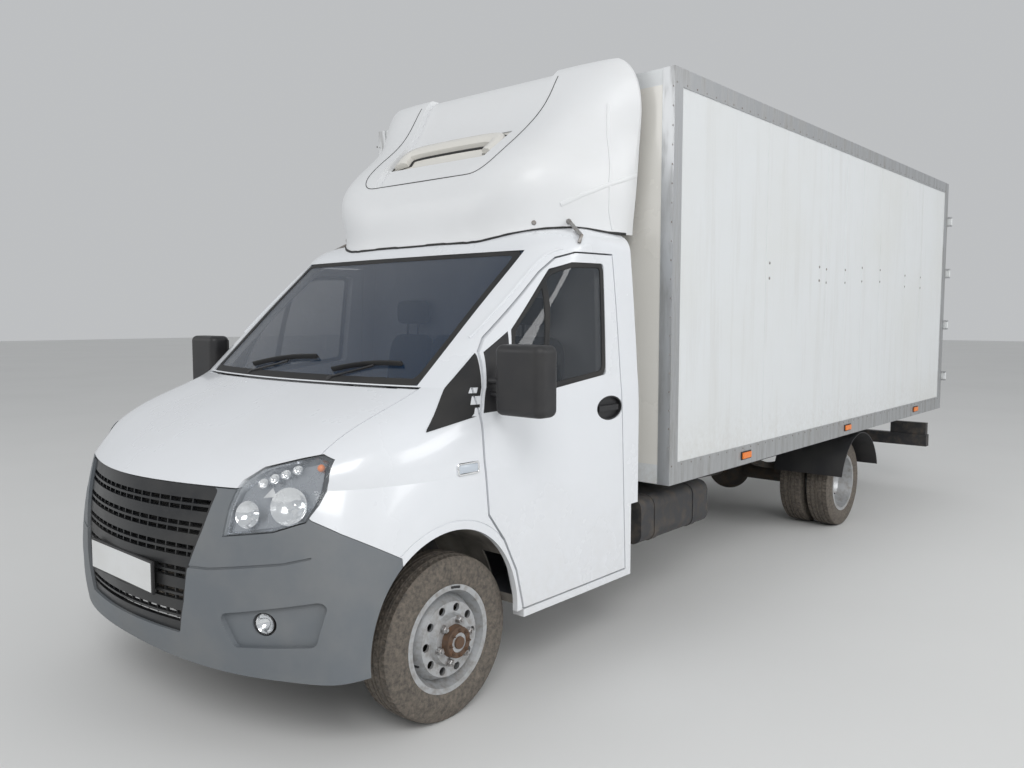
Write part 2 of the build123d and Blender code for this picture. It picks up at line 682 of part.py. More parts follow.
# Chassis frame
with BuildPart() as chassis_frame:
    with BuildSketch(Plane.XZ.offset(-axle(box_rear - rail_rear_margin))):
        for side in (1, -1):
            with Locations((side * (rail_outer_x - rail_flange / 2), rail_bottom_z + rail_height / 2)):
                Rectangle(rail_flange, rail_height)
            with Locations((side * (rail_outer_x - rail_web - (rail_flange - rail_web) / 2),
                            rail_bottom_z + rail_height / 2)):
                Rectangle(rail_flange - rail_web, rail_height - 2 * rail_web, mode=Mode.SUBTRACT)
    extrude(amount=box_rear - rail_rear_margin - rail_front)
    member_top = rail_top_z - rail_web
    for y in crossmember_places:
        add(block(rail_web - rail_outer_x, rail_outer_x - rail_web, y - crossmember_length / 2,
                  y + crossmember_length / 2, member_top - crossmember_height, member_top))
    for side in (1, -1):
        x0, x1 = sorted((side * (rail_outer_x - rail_flange), side * rail_outer_x))
        add(block(x0, x1, rail_front - horn_length, rail_front, rail_bottom_z + 40, rail_top_z - 40))
        pin_x = side * (rail_outer_x - rail_flange / 2)
        pin_y = rail_front - horn_length / 2
        add(rod((pin_x, pin_y, rail_bottom_z), (pin_x, pin_y, rail_top_z), tow_pin_radius), mode=Mode.SUBTRACT)
    tail_y = crossmember_places[-1] + crossmember_length / 2
    tail_z = member_top - crossmember_height / 2
    for x in (-tow_bolt_spacing_x / 2, tow_bolt_spacing_x / 2):
        for z in (tail_z - tow_bolt_spacing_z / 2, tail_z + tow_bolt_spacing_z / 2):
            add(rod((x, tail_y - crossmember_length - 10, z), (x, tail_y + 10, z), tow_bolt_radius),
                mode=Mode.SUBTRACT)
save(chassis_frame.part, "chassis_frame")

with BuildPart() as subframe:
    for side in (1, -1):
        x0, x1 = sorted((side * (rail_outer_x - runner_width), side * rail_outer_x))
        add(block(x0, x1, box_front + 20, box_rear - rail_rear_margin, rail_top_z, box_bottom_z))
save(subframe.part, "subframe")

# Engine with its gearbox, the radiator and the propeller shaft
with BuildPart() as engine:
    add(block(-210, 210, -520, 70, rail_bottom_z - 20, 980))
    add(block(-120, 120, 70, gearbox_rear, shaft_front_z - 70, shaft_front_z + 70))
    add(block(rail_flange - rail_outer_x, rail_outer_x - rail_flange, -260, -180, rail_top_z - 50, rail_top_z))
save(engine.part, "engine")

with BuildPart() as radiator:
    add(block(-radiator_half_width, radiator_half_width, -700, -640, rail_top_z, 980))
save(radiator.part, "radiator")

with BuildPart() as propeller_shaft:
    add(rod((0, gearbox_rear + 2, shaft_front_z), (0, wheelbase - 182, tyre_radius + 10), 38))
save(propeller_shaft.part, "propeller_shaft")

# Front axle beam with its king pins
beam_top = tyre_radius + axle_beam_height / 2 - 8
clevis_inner_x = kingpin_x - kingpin_boss_radius - 30
boss_low = tyre_radius - kingpin_boss_height / 2
boss_high = tyre_radius + kingpin_boss_height / 2
fork_thickness = 19.0
fork_half = 26.0
with BuildPart() as front_axle:
    add(block(-clevis_inner_x, clevis_inner_x, -axle_beam_half, axle_beam_half, beam_top - axle_beam_height,
              beam_top))
    for side in (1, -1):
        x0, x1 = sorted((side * (clevis_inner_x - 20), side * clevis_inner_x))
        add(block(x0, x1, -axle_beam_half, axle_beam_half, boss_low - 20, boss_high + 20))
        x0, x1 = sorted((side * clevis_inner_x, side * kingpin_x))
        for z0 in (boss_low - fork_thickness - 1, boss_high + 1):
            add(block(x0, x1, -fork_half, fork_half, z0, z0 + fork_thickness))
            add(rod((side * kingpin_x, 0, z0), (side * kingpin_x, 0, z0 + fork_thickness), fork_half))
        add(rod((side * kingpin_x, 0, boss_low - 24), (side * kingpin_x, 0, boss_high + 24), kingpin_radius))
save(front_axle.part, "front_axle")

with BuildPart() as knuckle:
    add(rod((kingpin_x, 0, boss_low + 1), (kingpin_x, 0, boss_high), kingpin_boss_radius))
    add(rod((kingpin_x + 20, 0, tyre_radius), (front_wheel_x + wheel_offset + 8, 0, tyre_radius),
            spindle_radius))
    add(rod((kingpin_x + 34, 0, tyre_radius), (kingpin_x + 46, 0, tyre_radius), brake_radius))
    add(block(kingpin_x - 14, kingpin_x + 14, 20, steering_arm, arm_z, arm_z + 20))
    add(rod((kingpin_x, steering_arm, arm_z), (kingpin_x, steering_arm, arm_z + 20), 22))
    add(rod((kingpin_x, 0, boss_low - 90), (kingpin_x, 0, boss_high + 90), kingpin_radius + running_clearance),
        mode=Mode.SUBTRACT)
save_sides(knuckle.part, "knuckle")

with BuildPart() as track_rod:
    add(rod((-kingpin_x, steering_arm - 6, track_rod_z), (kingpin_x, steering_arm - 6, track_rod_z), 10))
    for x in (kingpin_x, -kingpin_x):
        add(rod((x, steering_arm, track_rod_z - 13), (x, steering_arm, arm_z - seat_clearance), 20))
save(track_rod.part, "track_rod")


def leaf_spring(x, middle_y, seat_z, top_z, hanger_x):
    """A leaf pack seated on an axle, with a hanger at each end."""
    low, high = (middle_y - spring_half_length, middle_y + spring_half_length)
    with BuildPart() as pack:
        with BuildSketch(Plane.YZ.offset(x - spring_width / 2)):
            with BuildLine():
                bow = ThreePointArc((axle(low), top_z), (axle(middle_y), seat_z + spring_thickness / 2),
                                    (axle(high), top_z))
                offset(bow, amount=spring_thickness / 2, side=Side.BOTH)
            make_face()
        extrude(amount=spring_width)
        for y in (low, high):
            add(block(hanger_x[0], hanger_x[1], y - 45, y + 45, top_z - 30, hanger_x[2]))
    return pack.part


front_seat = beam_top
rear_seat = tyre_radius + rear_tube_radius + 10
front_spring = leaf_spring(front_spring_x, 0, front_seat, rail_bottom_z - 40,
                           (rail_outer_x - rail_flange, rail_outer_x, rail_bottom_z))
rear_spring = leaf_spring(rear_spring_x, wheelbase, rear_seat, rail_bottom_z + 70,
                          (rail_outer_x, rear_spring_x + spring_width / 2 + 10, rail_bottom_z + 130))
save(pair(Compound(children=[front_spring, rear_spring])), "leaf_springs")

# Rear axle: a tube with its differential and spring seats
with BuildPart() as rear_axle:
    for reach_x, radius in ((rear_wheel_x - 40, rear_tube_radius), (rear_wheel_x + 60, rear_spindle_radius)):
        add(rod((-reach_x, wheelbase, tyre_radius), (reach_x, wheelbase, tyre_radius), radius))
    with Locations((0, axle(wheelbase), tyre_radius)):
        Sphere(170)
    add(rod((0, wheelbase - 180, tyre_radius + 10), (0, wheelbase - 100, tyre_radius + 10), 62))
    for side in (1, -1):
        add(block(side * rear_spring_x - 45, side * rear_spring_x + 45, wheelbase - 60, wheelbase + 60,
                  tyre_radius + 20, rear_seat))
save(rear_axle.part, "rear_axle")


def wheel_rim(centre, outward, holes):
    """A pressed steel wheel on a cross axis: its middle plane and the side its disc bulges to."""
    def at(x, r):
        return (centre + outward * x, r)
    half = rim_width / 2
    disc_back = wheel_offset - disc_thickness
    hole_outer = hand_hole_circle + hand_hole_radius + 6
    hole_inner = hand_hole_circle - hand_hole_radius - 4
    with BuildPart() as rim:
        with BuildSketch(Plane.XY):
            with BuildLine():
                Polyline(at(-half, rim_flange_radius), at(-half + 8, rim_radius), at(half - 8, rim_radius),
                         at(half, rim_flange_radius), at(half, rim_radius - 6), at(disc_seat, rim_well_radius),
                         at(hole_face, hole_outer), at(hole_face, hole_inner), at(wheel_offset, hole_inner - 11),
                         at(wheel_offset, hub_radius), at(disc_back, hub_radius), at(disc_back, hole_inner - 15),
                         at(hole_face - disc_thickness, hole_inner - 4),
                         at(hole_face - disc_thickness, hole_outer - 4),
                         at(disc_seat - disc_thickness, rim_well_radius), at(-half, rim_radius - 6), close=True)
            make_face()
        revolve(axis=Axis.X)
        if holes:
            with BuildSketch(Plane.YZ.offset(centre)):
                with PolarLocations(hand_hole_circle, hand_hole_count):
                    Circle(hand_hole_radius)
            extrude(amount=outward * 150, mode=Mode.SUBTRACT)
    return rim.part


def tyre(centre):
    """A tyre seated on its rim, with straight shoulders."""
    bead, half, tread = rim_width / 2 - 8, tyre_width / 2, tyre_tread_width / 2
    with BuildPart() as ring:
        with BuildSketch(Plane.XY):
            with BuildLine():
                Polyline((centre - bead, rim_radius), (centre - half, bulge_radius), (centre - tread, tyre_radius),
                         (centre + tread, tyre_radius), (centre + half, bulge_radius), (centre + bead, rim_radius),
                         close=True)
            make_face()
        revolve(axis=Axis.X)
    return ring.part


def hub(x0, x1, bore):
    """The hub that carries a wheel, bored for its spindle."""
    with BuildPart() as boss:
        with BuildSketch(Plane.YZ.offset(x0)):
            Circle(hub_radius)
            Circle(bore, mode=Mode.SUBTRACT)
        extrude(amount=x1 - x0)
    return boss.part


def on_axle(part, y):
    """Moves a wheel part from the cross axis at the origin to its axle."""
    return Pos(0, axle(y), tyre_radius) * part


front_hub = hub(front_wheel_x + 8, front_wheel_x + wheel_offset + 30, spindle_radius + running_clearance)
front_rim = on_axle(wheel_rim(front_wheel_x, 1, True) + front_hub, 0)
save_sides(front_rim, "wheel_front")
save_sides(on_axle(tyre(front_wheel_x), 0), "tyre_front")
outer_x = rear_wheel_x + dual_spacing / 2
inner_x = rear_wheel_x - dual_spacing / 2
rear_hub = hub(rear_wheel_x - 38, rear_wheel_x + 62, rear_spindle_radius + running_clearance)
rear_rim = on_axle(wheel_rim(outer_x, -1, True) + wheel_rim(inner_x, 1, False) + rear_hub, wheelbase)
save_sides(rear_rim, "wheel_rear")
rear_tyres = Compound(children=[on_axle(tyre(x), wheelbase) for x in (outer_x, inner_x)])
save_sides(rear_tyres, "tyre_rear")


# Cargo box: insulated floor, walls and roof
floor_z1 = box_bottom_z + floor_wall
roof_z0 = box_top_z - roof_wall
wall_x1 = box_half - trim_thickness
wall_x0 = wall_x1 - side_wall
portal_front = box_rear - portal_depth
with BuildPart() as box_floor:
    add(block(-wall_x1, wall_x1, box_front + trim_thickness, portal_front, box_bottom_z, floor_z1))
save(box_floor.part, "box_floor")

with BuildPart() as box_front_wall:
    add(block(-wall_x1, wall_x1, box_front + trim_thickness, box_front + front_wall, floor_z1, roof_z0))
save(box_front_wall.part, "box_front_wall")

with BuildPart() as box_roof:
    add(block(-wall_x1, wall_x1, box_front + trim_thickness, portal_front, roof_z0, box_top_z))
save(box_roof.part, "box_roof")

with BuildPart() as box_side:
    add(block(wall_x0, wall_x1, box_front + front_wall, portal_front, floor_z1, roof_z0))
save_sides(box_side.part, "box_side")

# Aluminium edge trim: a rail along the bottom and top of each side and a post at each front corner
with BuildPart() as box_trim:
    add(block(wall_x1, box_half, box_front, portal_front, box_bottom_z, box_bottom_z + bottom_rail_height))
    add(block(wall_x1, box_half, box_front, portal_front, box_top_z - top_rail_height, box_top_z))
    add(block(wall_x1, box_half, box_front, box_front + post_face, box_bottom_z, box_top_z))
    add(block(box_half - front_post_width, box_half, box_front, box_front + trim_thickness, box_bottom_z,
              box_top_z))
save(pair(box_trim.part), "box_trim")

# Rear portal with the fixed lugs and pins of the cargo door hinges
hinge_x = box_half + hinge_pin_out
hinge_y = box_rear + hinge_pin_back
door_bottom = box_bottom_z + portal_sill + cargo_door_gap
door_top = box_top_z - portal_head - cargo_door_gap
hinge_pitch = (door_top - door_bottom) / hinge_count
hinge_levels = [door_bottom + hinge_pitch * (place + 0.5) for place in range(hinge_count)]
with BuildPart() as box_portal:
    add(block(-box_half, box_half, portal_front, box_rear, box_bottom_z, box_top_z))
    add(block(-box_half + portal_post, box_half - portal_post, portal_front, box_rear,
              box_bottom_z + portal_sill, box_top_z - portal_head), mode=Mode.SUBTRACT)
    for side in (1, -1):
        x0, x1 = sorted((side * (box_half - portal_post / 2), side * (hinge_x + 10)))
        for level in hinge_levels:
            for z0 in (level - hinge_height / 2 - 13, level + hinge_height / 2 + 1):
                add(block(x0, x1, box_rear, hinge_y + 10, z0, z0 + 12))
            add(rod((side * hinge_x, hinge_y, level - hinge_height / 2 - 13),
                    (side * hinge_x, hinge_y, level + hinge_height / 2 + 13), hinge_pin_radius))
save(box_portal.part, "box_portal")

# Cargo doors with straps, lock bars and their keepers
with BuildPart() as cargo_door:
    add(block(cargo_door_gap / 2, box_half - portal_post - cargo_door_gap, box_rear - cargo_door_thickness,
              box_rear, door_bottom, door_top))
    for level in hinge_levels:
        z0, z1 = level - hinge_height / 2, level + hinge_height / 2
        add(block(box_half - portal_post - 190, box_half - portal_post - 20, box_rear, box_rear + 14, z0, z1))
        add(block(box_half - portal_post - 60, hinge_x, box_rear + 6, box_rear + 14, z0, z1))
        add(block(hinge_x - 8, hinge_x + hinge_barrel_radius - 4, box_rear + 6, hinge_y, z0, z1))
        add(rod((hinge_x, hinge_y, z0), (hinge_x, hinge_y, z1), hinge_barrel_radius))
        add(rod((hinge_x, hinge_y, z0 - 20), (hinge_x, hinge_y, z1 + 20),
                hinge_pin_radius + running_clearance), mode=Mode.SUBTRACT)
    for x in lock_bar_places:
        add(rod((x, box_rear + 20, door_bottom + 30), (x, box_rear + 20, door_top - 30), lock_bar_radius))
        for z in (door_bottom + 60, door_bottom + 560, door_bottom + 1080, door_top - 60):
            add(block(x - 26, x + 26, box_rear, box_rear + 24, z - 22, z + 22))
        add(block(x - 10, x + 230, box_rear + 12, box_rear + 24, door_bottom + 640, door_bottom + 668))
        add(block(x + 170, x + 210, box_rear, box_rear + 14, door_bottom + 632, door_bottom + 676))
save_sides(cargo_door.part, "cargo_door")


unit_back = box_front + trim_thickness


def unit_form(half_width, grow):
    """The cooling unit's form, larger all round by grow."""
    with BuildPart(mode=Mode.PRIVATE) as form:
        with BuildSketch(Plane.YZ.offset(-half_width - grow)):
            with BuildLine():
                Polyline(*[(axle(y), z) for y, z in (
                    (unit_back, unit_bottom_z), (880, unit_bottom_z), (850, unit_bottom_z + 50), (862, 2400),
                    (905, 2450), (1055, 2588), (1100, 2612), (unit_back, 2650))], close=True)
            unit_side = make_face()
            fillet(unit_side.vertices().group_by(Axis.X)[0:5], 12)
            if grow:
                offset(amount=grow)
        extrude(amount=2 * (half_width + grow))
    return form.part


def fairing_slice(level, inset):
    """The roof fairing's outline at one height, drawn in by inset and open to the rear."""
    z, *half = level
    pts = [(x * (1 - inset / 900), axle(y + inset)) for x, y in half]
    right = [(-x, y) for x, y in pts[:0:-1]]
    edge, back = pts[-1][0], axle(fairing_rear)
    with BuildSketch(Plane.XY.offset(z - inset * (z > 2850)), mode=Mode.PRIVATE) as outline:
        with BuildLine():
            Spline(*right, *pts)
            Polyline(pts[-1], (edge, back), (-edge, back), right[0])
        make_face()
    return outline.sketch


FAIRING_SLICES = (
    (1980, (0, 655), (300, 657), (540, 672), (680, 735), (800, 850), (880, 1010), (930, 1290)),
    (2180, (0, 668), (300, 668), (540, 684), (670, 745), (785, 870), (876, 1040), (936, 1300)),
    (2335, (0, 727), (351, 725), (560, 732), (685, 775), (790, 880), (886, 1060), (950, 1310)),
    (2594, (0, 1010), (426, 1012), (570, 1014), (690, 1040), (800, 1120), (890, 1220), (968, 1325)),
    (2723, (0, 1132), (460, 1134), (590, 1136), (705, 1152), (810, 1195), (890, 1256), (966, 1328)),
    (2892, (0, 1243), (484, 1245), (600, 1248), (700, 1256), (780, 1272), (840, 1292), (893, 1322)),
    (2930, (0, 1288), (484, 1290), (590, 1292), (680, 1297), (750, 1304), (800, 1312), (840, 1326)),
)
FAIRING_RECESS = ((-351, 2331), (351, 2331), (396, 2443), (426, 2594), (460, 2723), (484, 2892), (490, 2990),
                  (-490, 2990), (-484, 2892), (-460, 2723), (-426, 2594), (-396, 2443))
FAIRING_SLOT = ((-396, 2443), (396, 2443), (424, 2594), (-424, 2594))

# Roof fairing with its recessed middle and slot, and the cooling unit that it shrouds
roof_seat = cab_zone(ROOF_SLICES, -seat_clearance)
screen_seat = cab_zone(SCREEN_SLICES, -seat_clearance)


def fairing_loft(inset):
    """The whole fairing's form, drawn in by inset."""
    with BuildPart(mode=Mode.PRIVATE) as form:
        loft(sections=[fairing_slice(level, inset) for level in FAIRING_SLICES])
    return form.part


recess_drop = Pos(0, fairing_recess, -fairing_recess / 2)
fairing_form = fairing_loft(0)
fairing_space = fairing_loft(fairing_thickness)
recess_front = front_prism(FAIRING_RECESS, 400, fairing_rear + 100, radius=12)
recess_inside = front_prism(FAIRING_RECESS, 400, fairing_rear + 100, grow=fairing_thickness)
with BuildPart() as roof_fairing:
    add(fairing_form)
    add(recess_front - recess_drop * fairing_form, mode=Mode.SUBTRACT)
    add(fairing_space - (recess_inside - recess_drop * fairing_space), mode=Mode.SUBTRACT)
    add(front_prism(FAIRING_SLOT, 700, fairing_rear, radius=20), mode=Mode.SUBTRACT)
    add(roof_seat, mode=Mode.SUBTRACT)
    add(screen_seat, mode=Mode.SUBTRACT)
    add(side_prism(((400, 1900), (fairing_rear + 5, 1900), (fairing_rear + 5, fairing_side_z),
                    (1000, fairing_side_z), (760, fairing_front_z), (400, fairing_front_z)), -reach, reach),
        mode=Mode.SUBTRACT)
save(roof_fairing.part - unit_form(unit_half_width, moving_clearance), "roof_fairing")

save(unit_form(unit_half_width, 0), "cooling_unit")

# Fuel tank, battery box and exhaust
with BuildPart() as fuel_tank:
    with BuildSketch(Plane.XZ.offset(-axle(tank_rear))):
        with Locations(((tank_inner_x + tank_outer_x) / 2, (tank_bottom_z + tank_top_z) / 2)):
            RectangleRounded(tank_outer_x - tank_inner_x, tank_top_z - tank_bottom_z, 60)
    extrude(amount=tank_rear - tank_front)
    for y in (tank_front + 150, tank_rear - 150):
        with BuildSketch(Plane.XZ.offset(-axle(y + 25))):
            with Locations(((tank_inner_x + tank_outer_x) / 2, (tank_bottom_z + tank_top_z) / 2)):
                RectangleRounded(tank_outer_x - tank_inner_x + 8, tank_top_z - tank_bottom_z + 8, 64)
        extrude(amount=50)
        add(block(rail_outer_x, tank_inner_x + 20, y - 25, y + 25, rail_bottom_z + 30, rail_top_z - 20))
save(fuel_tank.part, "fuel_tank")

with BuildPart() as battery_box:
    add(block(-tank_outer_x + 60, -tank_inner_x - 60, 1420, 1980, 440, 690))
    for y in (1500, 1900):
        add(block(-tank_inner_x - 60, -rail_outer_x, y - 25, y + 25, rail_bottom_z + 30, rail_top_z - 20))
save(battery_box.part, "battery_box")

exhaust_z = 430.0
with BuildPart() as exhaust:
    with BuildLine():
        FilletPolyline((exhaust_x, axle(70), exhaust_z), (exhaust_x, axle(3240), exhaust_z),
                       (-900, axle(3240), exhaust_z), radius=110)
    with BuildSketch(Plane((exhaust_x, axle(70), exhaust_z), x_dir=(1, 0, 0), z_dir=(0, 1, 0))):
        Circle(26)
    sweep()
    add(rod((exhaust_x, 1500, exhaust_z), (exhaust_x, 2150, exhaust_z), 80))
    for y in (1300, 2100, 2900):
        add(block(exhaust_x - 10, exhaust_x + 10, y - 15, y + 15, exhaust_z, member_top - crossmember_height))
save(exhaust.part, "exhaust")

# Rear mudguards on their bars
with BuildPart() as mudguard:
    with BuildSketch(Plane.YZ.offset(mudguard_inner_x)):
        with Locations((axle(wheelbase), tyre_radius)):
            Circle(mudguard_radius)
            Circle(mudguard_radius - 6, mode=Mode.SUBTRACT)
            with Locations((0, -mudguard_radius + 110)):
                Rectangle(3 * mudguard_radius, 2 * mudguard_radius, mode=Mode.SUBTRACT)
    extrude(amount=mudguard_outer_x - mudguard_inner_x)
    for angle in (40, 140):
        y = wheelbase + (mudguard_radius - 3) * cos(radians(angle))
        z = tyre_radius + (mudguard_radius - 3) * sin(radians(angle))
        add(rod((rail_outer_x, y, z), (mudguard_inner_x + 60, y, z), 14))
save(pair(mudguard.part), "rear_mudguards")

# Rear under-run bar with the lamps
with BuildPart() as rear_bumper:
    add(block(-underrun_half_width, underrun_half_width, underrun_y, underrun_y + 80, underrun_z,
              underrun_z + underrun_height))
    for side in (1, -1):
        x0, x1 = sorted((side * rail_outer_x, side * (rail_outer_x + 12)))
        add(block(x0, x1, underrun_y - 60, underrun_y + 80, underrun_z, rail_top_z - 10))
        x0, x1 = sorted((side * (underrun_half_width - 330), side * (underrun_half_width - 10)))
        add(block(x0, x1, underrun_y + 10, underrun_y + 72, underrun_z + underrun_height,
                  underrun_z + underrun_height + tail_lamp_height))
save(rear_bumper.part, "rear_bumper")
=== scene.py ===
"""Looks of a light refrigerated truck: paint, plastics, glass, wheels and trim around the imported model.

Everything is in metres, in the model's frame: the truck faces -Y, +X is its left side and the
ground is at z = 0. Places along the truck are given rearwards from the front axle.
"""

import json
import math

import bmesh
import bpy
from mathutils import Matrix, Vector
from mathutils.bvhtree import BVHTree


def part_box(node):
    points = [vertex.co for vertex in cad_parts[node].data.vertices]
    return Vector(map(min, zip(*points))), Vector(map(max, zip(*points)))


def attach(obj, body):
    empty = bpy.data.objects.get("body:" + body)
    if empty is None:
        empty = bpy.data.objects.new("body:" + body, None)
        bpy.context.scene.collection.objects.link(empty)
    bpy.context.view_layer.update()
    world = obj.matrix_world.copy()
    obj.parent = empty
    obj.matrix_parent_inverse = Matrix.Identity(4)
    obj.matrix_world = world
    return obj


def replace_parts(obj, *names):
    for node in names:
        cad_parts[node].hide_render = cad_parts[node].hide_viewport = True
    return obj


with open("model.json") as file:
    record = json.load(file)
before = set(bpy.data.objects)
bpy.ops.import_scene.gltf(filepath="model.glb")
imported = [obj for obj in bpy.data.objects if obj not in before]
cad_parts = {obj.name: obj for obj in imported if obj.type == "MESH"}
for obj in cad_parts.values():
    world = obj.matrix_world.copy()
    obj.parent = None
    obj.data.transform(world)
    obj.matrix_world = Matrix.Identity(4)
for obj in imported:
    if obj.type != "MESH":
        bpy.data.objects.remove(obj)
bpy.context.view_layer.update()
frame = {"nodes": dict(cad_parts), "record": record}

FRONT_AXLE_Y = sum(c[1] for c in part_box("tyre_front_left")) / 2
REAR_AXLE_Y = sum(c[1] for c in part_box("tyre_rear_left")) / 2
AXLE_Z = 0.338
SIDES = ((1, "left"), (-1, "right"))
REARWARDS = Vector((0, 1, 0))


def both(make):
    """Makes the same on the left and on the right."""
    for side, tag in SIDES:
        make(side, tag)


def axle(y):
    """A place along the truck in the frame, from one given rearwards from the front axle."""
    return FRONT_AXLE_Y + y


# Camera, at the photograph's place
CAMERA_PLACE = Vector((3.313, axle(-2.293), 1.627))
CAMERA_YAW = math.radians(41.39)
CAMERA_PITCH = math.radians(4.56)
SENSOR = 36
LENS = SENSOR * 839 / 1024
VIEW_END = 200


def make_camera():
    """The camera, with the photograph's lens and viewing angle."""
    data = bpy.data.cameras.new("camera")
    data.sensor_width = SENSOR
    data.lens = LENS
    data.clip_end = VIEW_END
    camera = bpy.data.objects.new("camera", data)
    camera.location = CAMERA_PLACE
    camera.rotation_euler = (math.pi / 2 - CAMERA_PITCH, 0, CAMERA_YAW)
    bpy.context.scene.collection.objects.link(camera)
    bpy.context.scene.camera = camera


# Shader helpers: the output that is used of a kind of node, where it isn't the first
OUTPUTS = {"ShaderNodeSeparateXYZ": "Z", "ShaderNodeTexCoord": "Object", "ShaderNodeTexWave": "Fac"}
COAT_ROUGHNESS = 0.08


class Shader:
    """A node material under construction."""

    def __init__(self, name, color, roughness, metallic=0.0, coat=0.0):
        self.material = bpy.data.materials.new(name)
        self.material.use_nodes = True
        self.tree = self.material.node_tree
        self.tree.nodes.clear()
        out = self.node("OutputMaterial")
        self.bsdf = self.node("BsdfPrincipled", {
            "Base Color": (*color, 1), "Roughness": roughness, "Metallic": metallic,
            "Coat Weight": coat, "Coat Roughness": COAT_ROUGHNESS})
        self.link(self.bsdf, out, "Surface")
        self.color = color
        self.place = self.node("TexCoord")

    def node(self, kind, inputs=None, **values):
        """A new node with its properties and its inputs' own values."""
        made = self.tree.nodes.new("ShaderNode" + kind)
        for key, value in values.items():
            setattr(made, key, value)
        for key, value in (inputs or {}).items():
            made.inputs[key].default_value = value
        return made

    def link(self, source, target, socket):
        """Joins a node's output to a socket of another."""
        self.tree.links.new(source.outputs[OUTPUTS.get(source.bl_idname, 0)], target.inputs[socket])

    def noise(self, size, detail=4.0, roughness=0.55, stretch=(1, 1, 1)):
        """Noise whose features are about size metres across."""
        made = self.node("TexNoise", {"Scale": 1 / size, "Detail": detail, "Roughness": roughness})
        mapping = self.node("Mapping", {"Scale": stretch})
        self.link(self.place, mapping, "Vector")
        self.link(mapping, made, "Vector")
        return made

    def ramp(self, source, low, high, start=0.0, end=1.0):
        """Maps a value from low..high to start..end."""
        made = self.node("MapRange", {"From Min": low, "From Max": high, "To Min": start, "To Max": end})
        self.link(source, made, "Value")
        return made

    def patches(self, size, low, high, **noise):
        """Soft patches: noise that is 0 below the low value and 1 above the high one."""
        return self.ramp(self.noise(size, **noise), low, high)

    def height(self, low, high):
        """A mask that is 1 below the low height and 0 above the high one."""
        split = self.node("SeparateXYZ")
        self.link(self.place, split, "Vector")
        return self.ramp(split, low, high, 1.0, 0.0)

    def times(self, a, b):
        """The product of two values."""
        made = self.node("Math", operation="MULTIPLY")
        self.link(a, made, 0)
        self.link(b, made, 1)
        return made

    def tint(self, mask, color, strength):
        """Mixes a colour over the base where the mask is high."""
        mix = self.node("Mix", data_type="RGBA")
        scaled = self.node("Math", {1: strength}, operation="MULTIPLY")
        self.link(mask, scaled, 0)
        self.link(scaled, mix, "Factor")
        socket = self.bsdf.inputs["Base Color"]
        if socket.is_linked:
            self.tree.links.new(socket.links[0].from_socket, mix.inputs["A"])
        else:
            mix.inputs["A"].default_value = (*self.color, 1)
        mix.inputs["B"].default_value = (*color, 1)
        self.tree.links.new(mix.outputs["Result"], socket)

    def rough(self, mask, low, high):
        """Roughness that varies with the mask from low to high."""
        self.link(self.ramp(mask, 0.0, 1.0, low, high), self.bsdf, "Roughness")

    def bump(self, source, strength, distance):
        """Adds a bump from a value."""
        made = self.node("Bump", {"Strength": strength, "Distance": distance})
        self.link(source, made, "Height")
        socket = self.bsdf.inputs["Normal"]
        if socket.is_linked:
            self.tree.links.new(socket.links[0].from_socket, made.inputs["Normal"])
        self.link(made, self.bsdf, "Normal")


# Materials: sizes of the noise in metres, heights above the ground, and shares between 0 and 1
PAINT_DUST = (0.35, 0.9)
PANEL_DUST = (0.78, 1.15)


def shaded(color, *shares):
    """A colour with each part multiplied by a share."""
    return tuple(part * share for part, share in zip(color, shares))


def paint(name, color, dust=0.0, gloss=0.25):
    """Gloss paint with a faint orange peel, and dust that gathers low down."""
    shader = Shader(name, color, roughness=gloss, coat=0.5 if gloss < 0.3 else 0.1)
    shader.bump(shader.noise(0.012, detail=2), strength=0.03, distance=0.001)
    faint = shader.patches(0.9, 0.45, 0.75, detail=6, roughness=0.6)
    shader.tint(faint, shaded(color, 0.93, 0.92, 0.9), 0.6)
    shader.rough(faint, gloss, gloss + 0.11)
    if dust:
        low_down = shader.height(*PAINT_DUST)
        film = shader.times(low_down, shader.patches(0.05, 0.35, 0.7, detail=8, roughness=0.7))
        shader.tint(film, (0.45, 0.4, 0.33), dust)
    return shader.material


def plastic(name, color, roughness, dust):
    """Moulded plastic with a fine leathery grain and a little dust."""
    shader = Shader(name, color, roughness=roughness)
    shader.bump(shader.noise(0.0012, detail=3, roughness=0.6), strength=0.25, distance=0.0003)
    mask = shader.patches(0.25, 0.42, 0.72, detail=6)
    shader.tint(mask, (0.42, 0.39, 0.34), dust)
    shader.rough(mask, roughness, min(1.0, roughness + 0.2))
    return shader.material


def metal(name, color, roughness, grime, amount, metallic=1.0, size=0.06, stretch=(1, 1, 1)):
    """Metal with grime in soft patches."""
    shader = Shader(name, color, roughness=roughness, metallic=metallic)
    mask = shader.patches(size, 0.45, 0.72, detail=8, roughness=0.62, stretch=stretch)
    shader.tint(mask, grime, amount)
    shader.rough(mask, roughness, min(1.0, roughness + 0.3))
    shader.bump(shader.noise(0.002, detail=2), strength=0.08, distance=0.0003)
    return shader.material


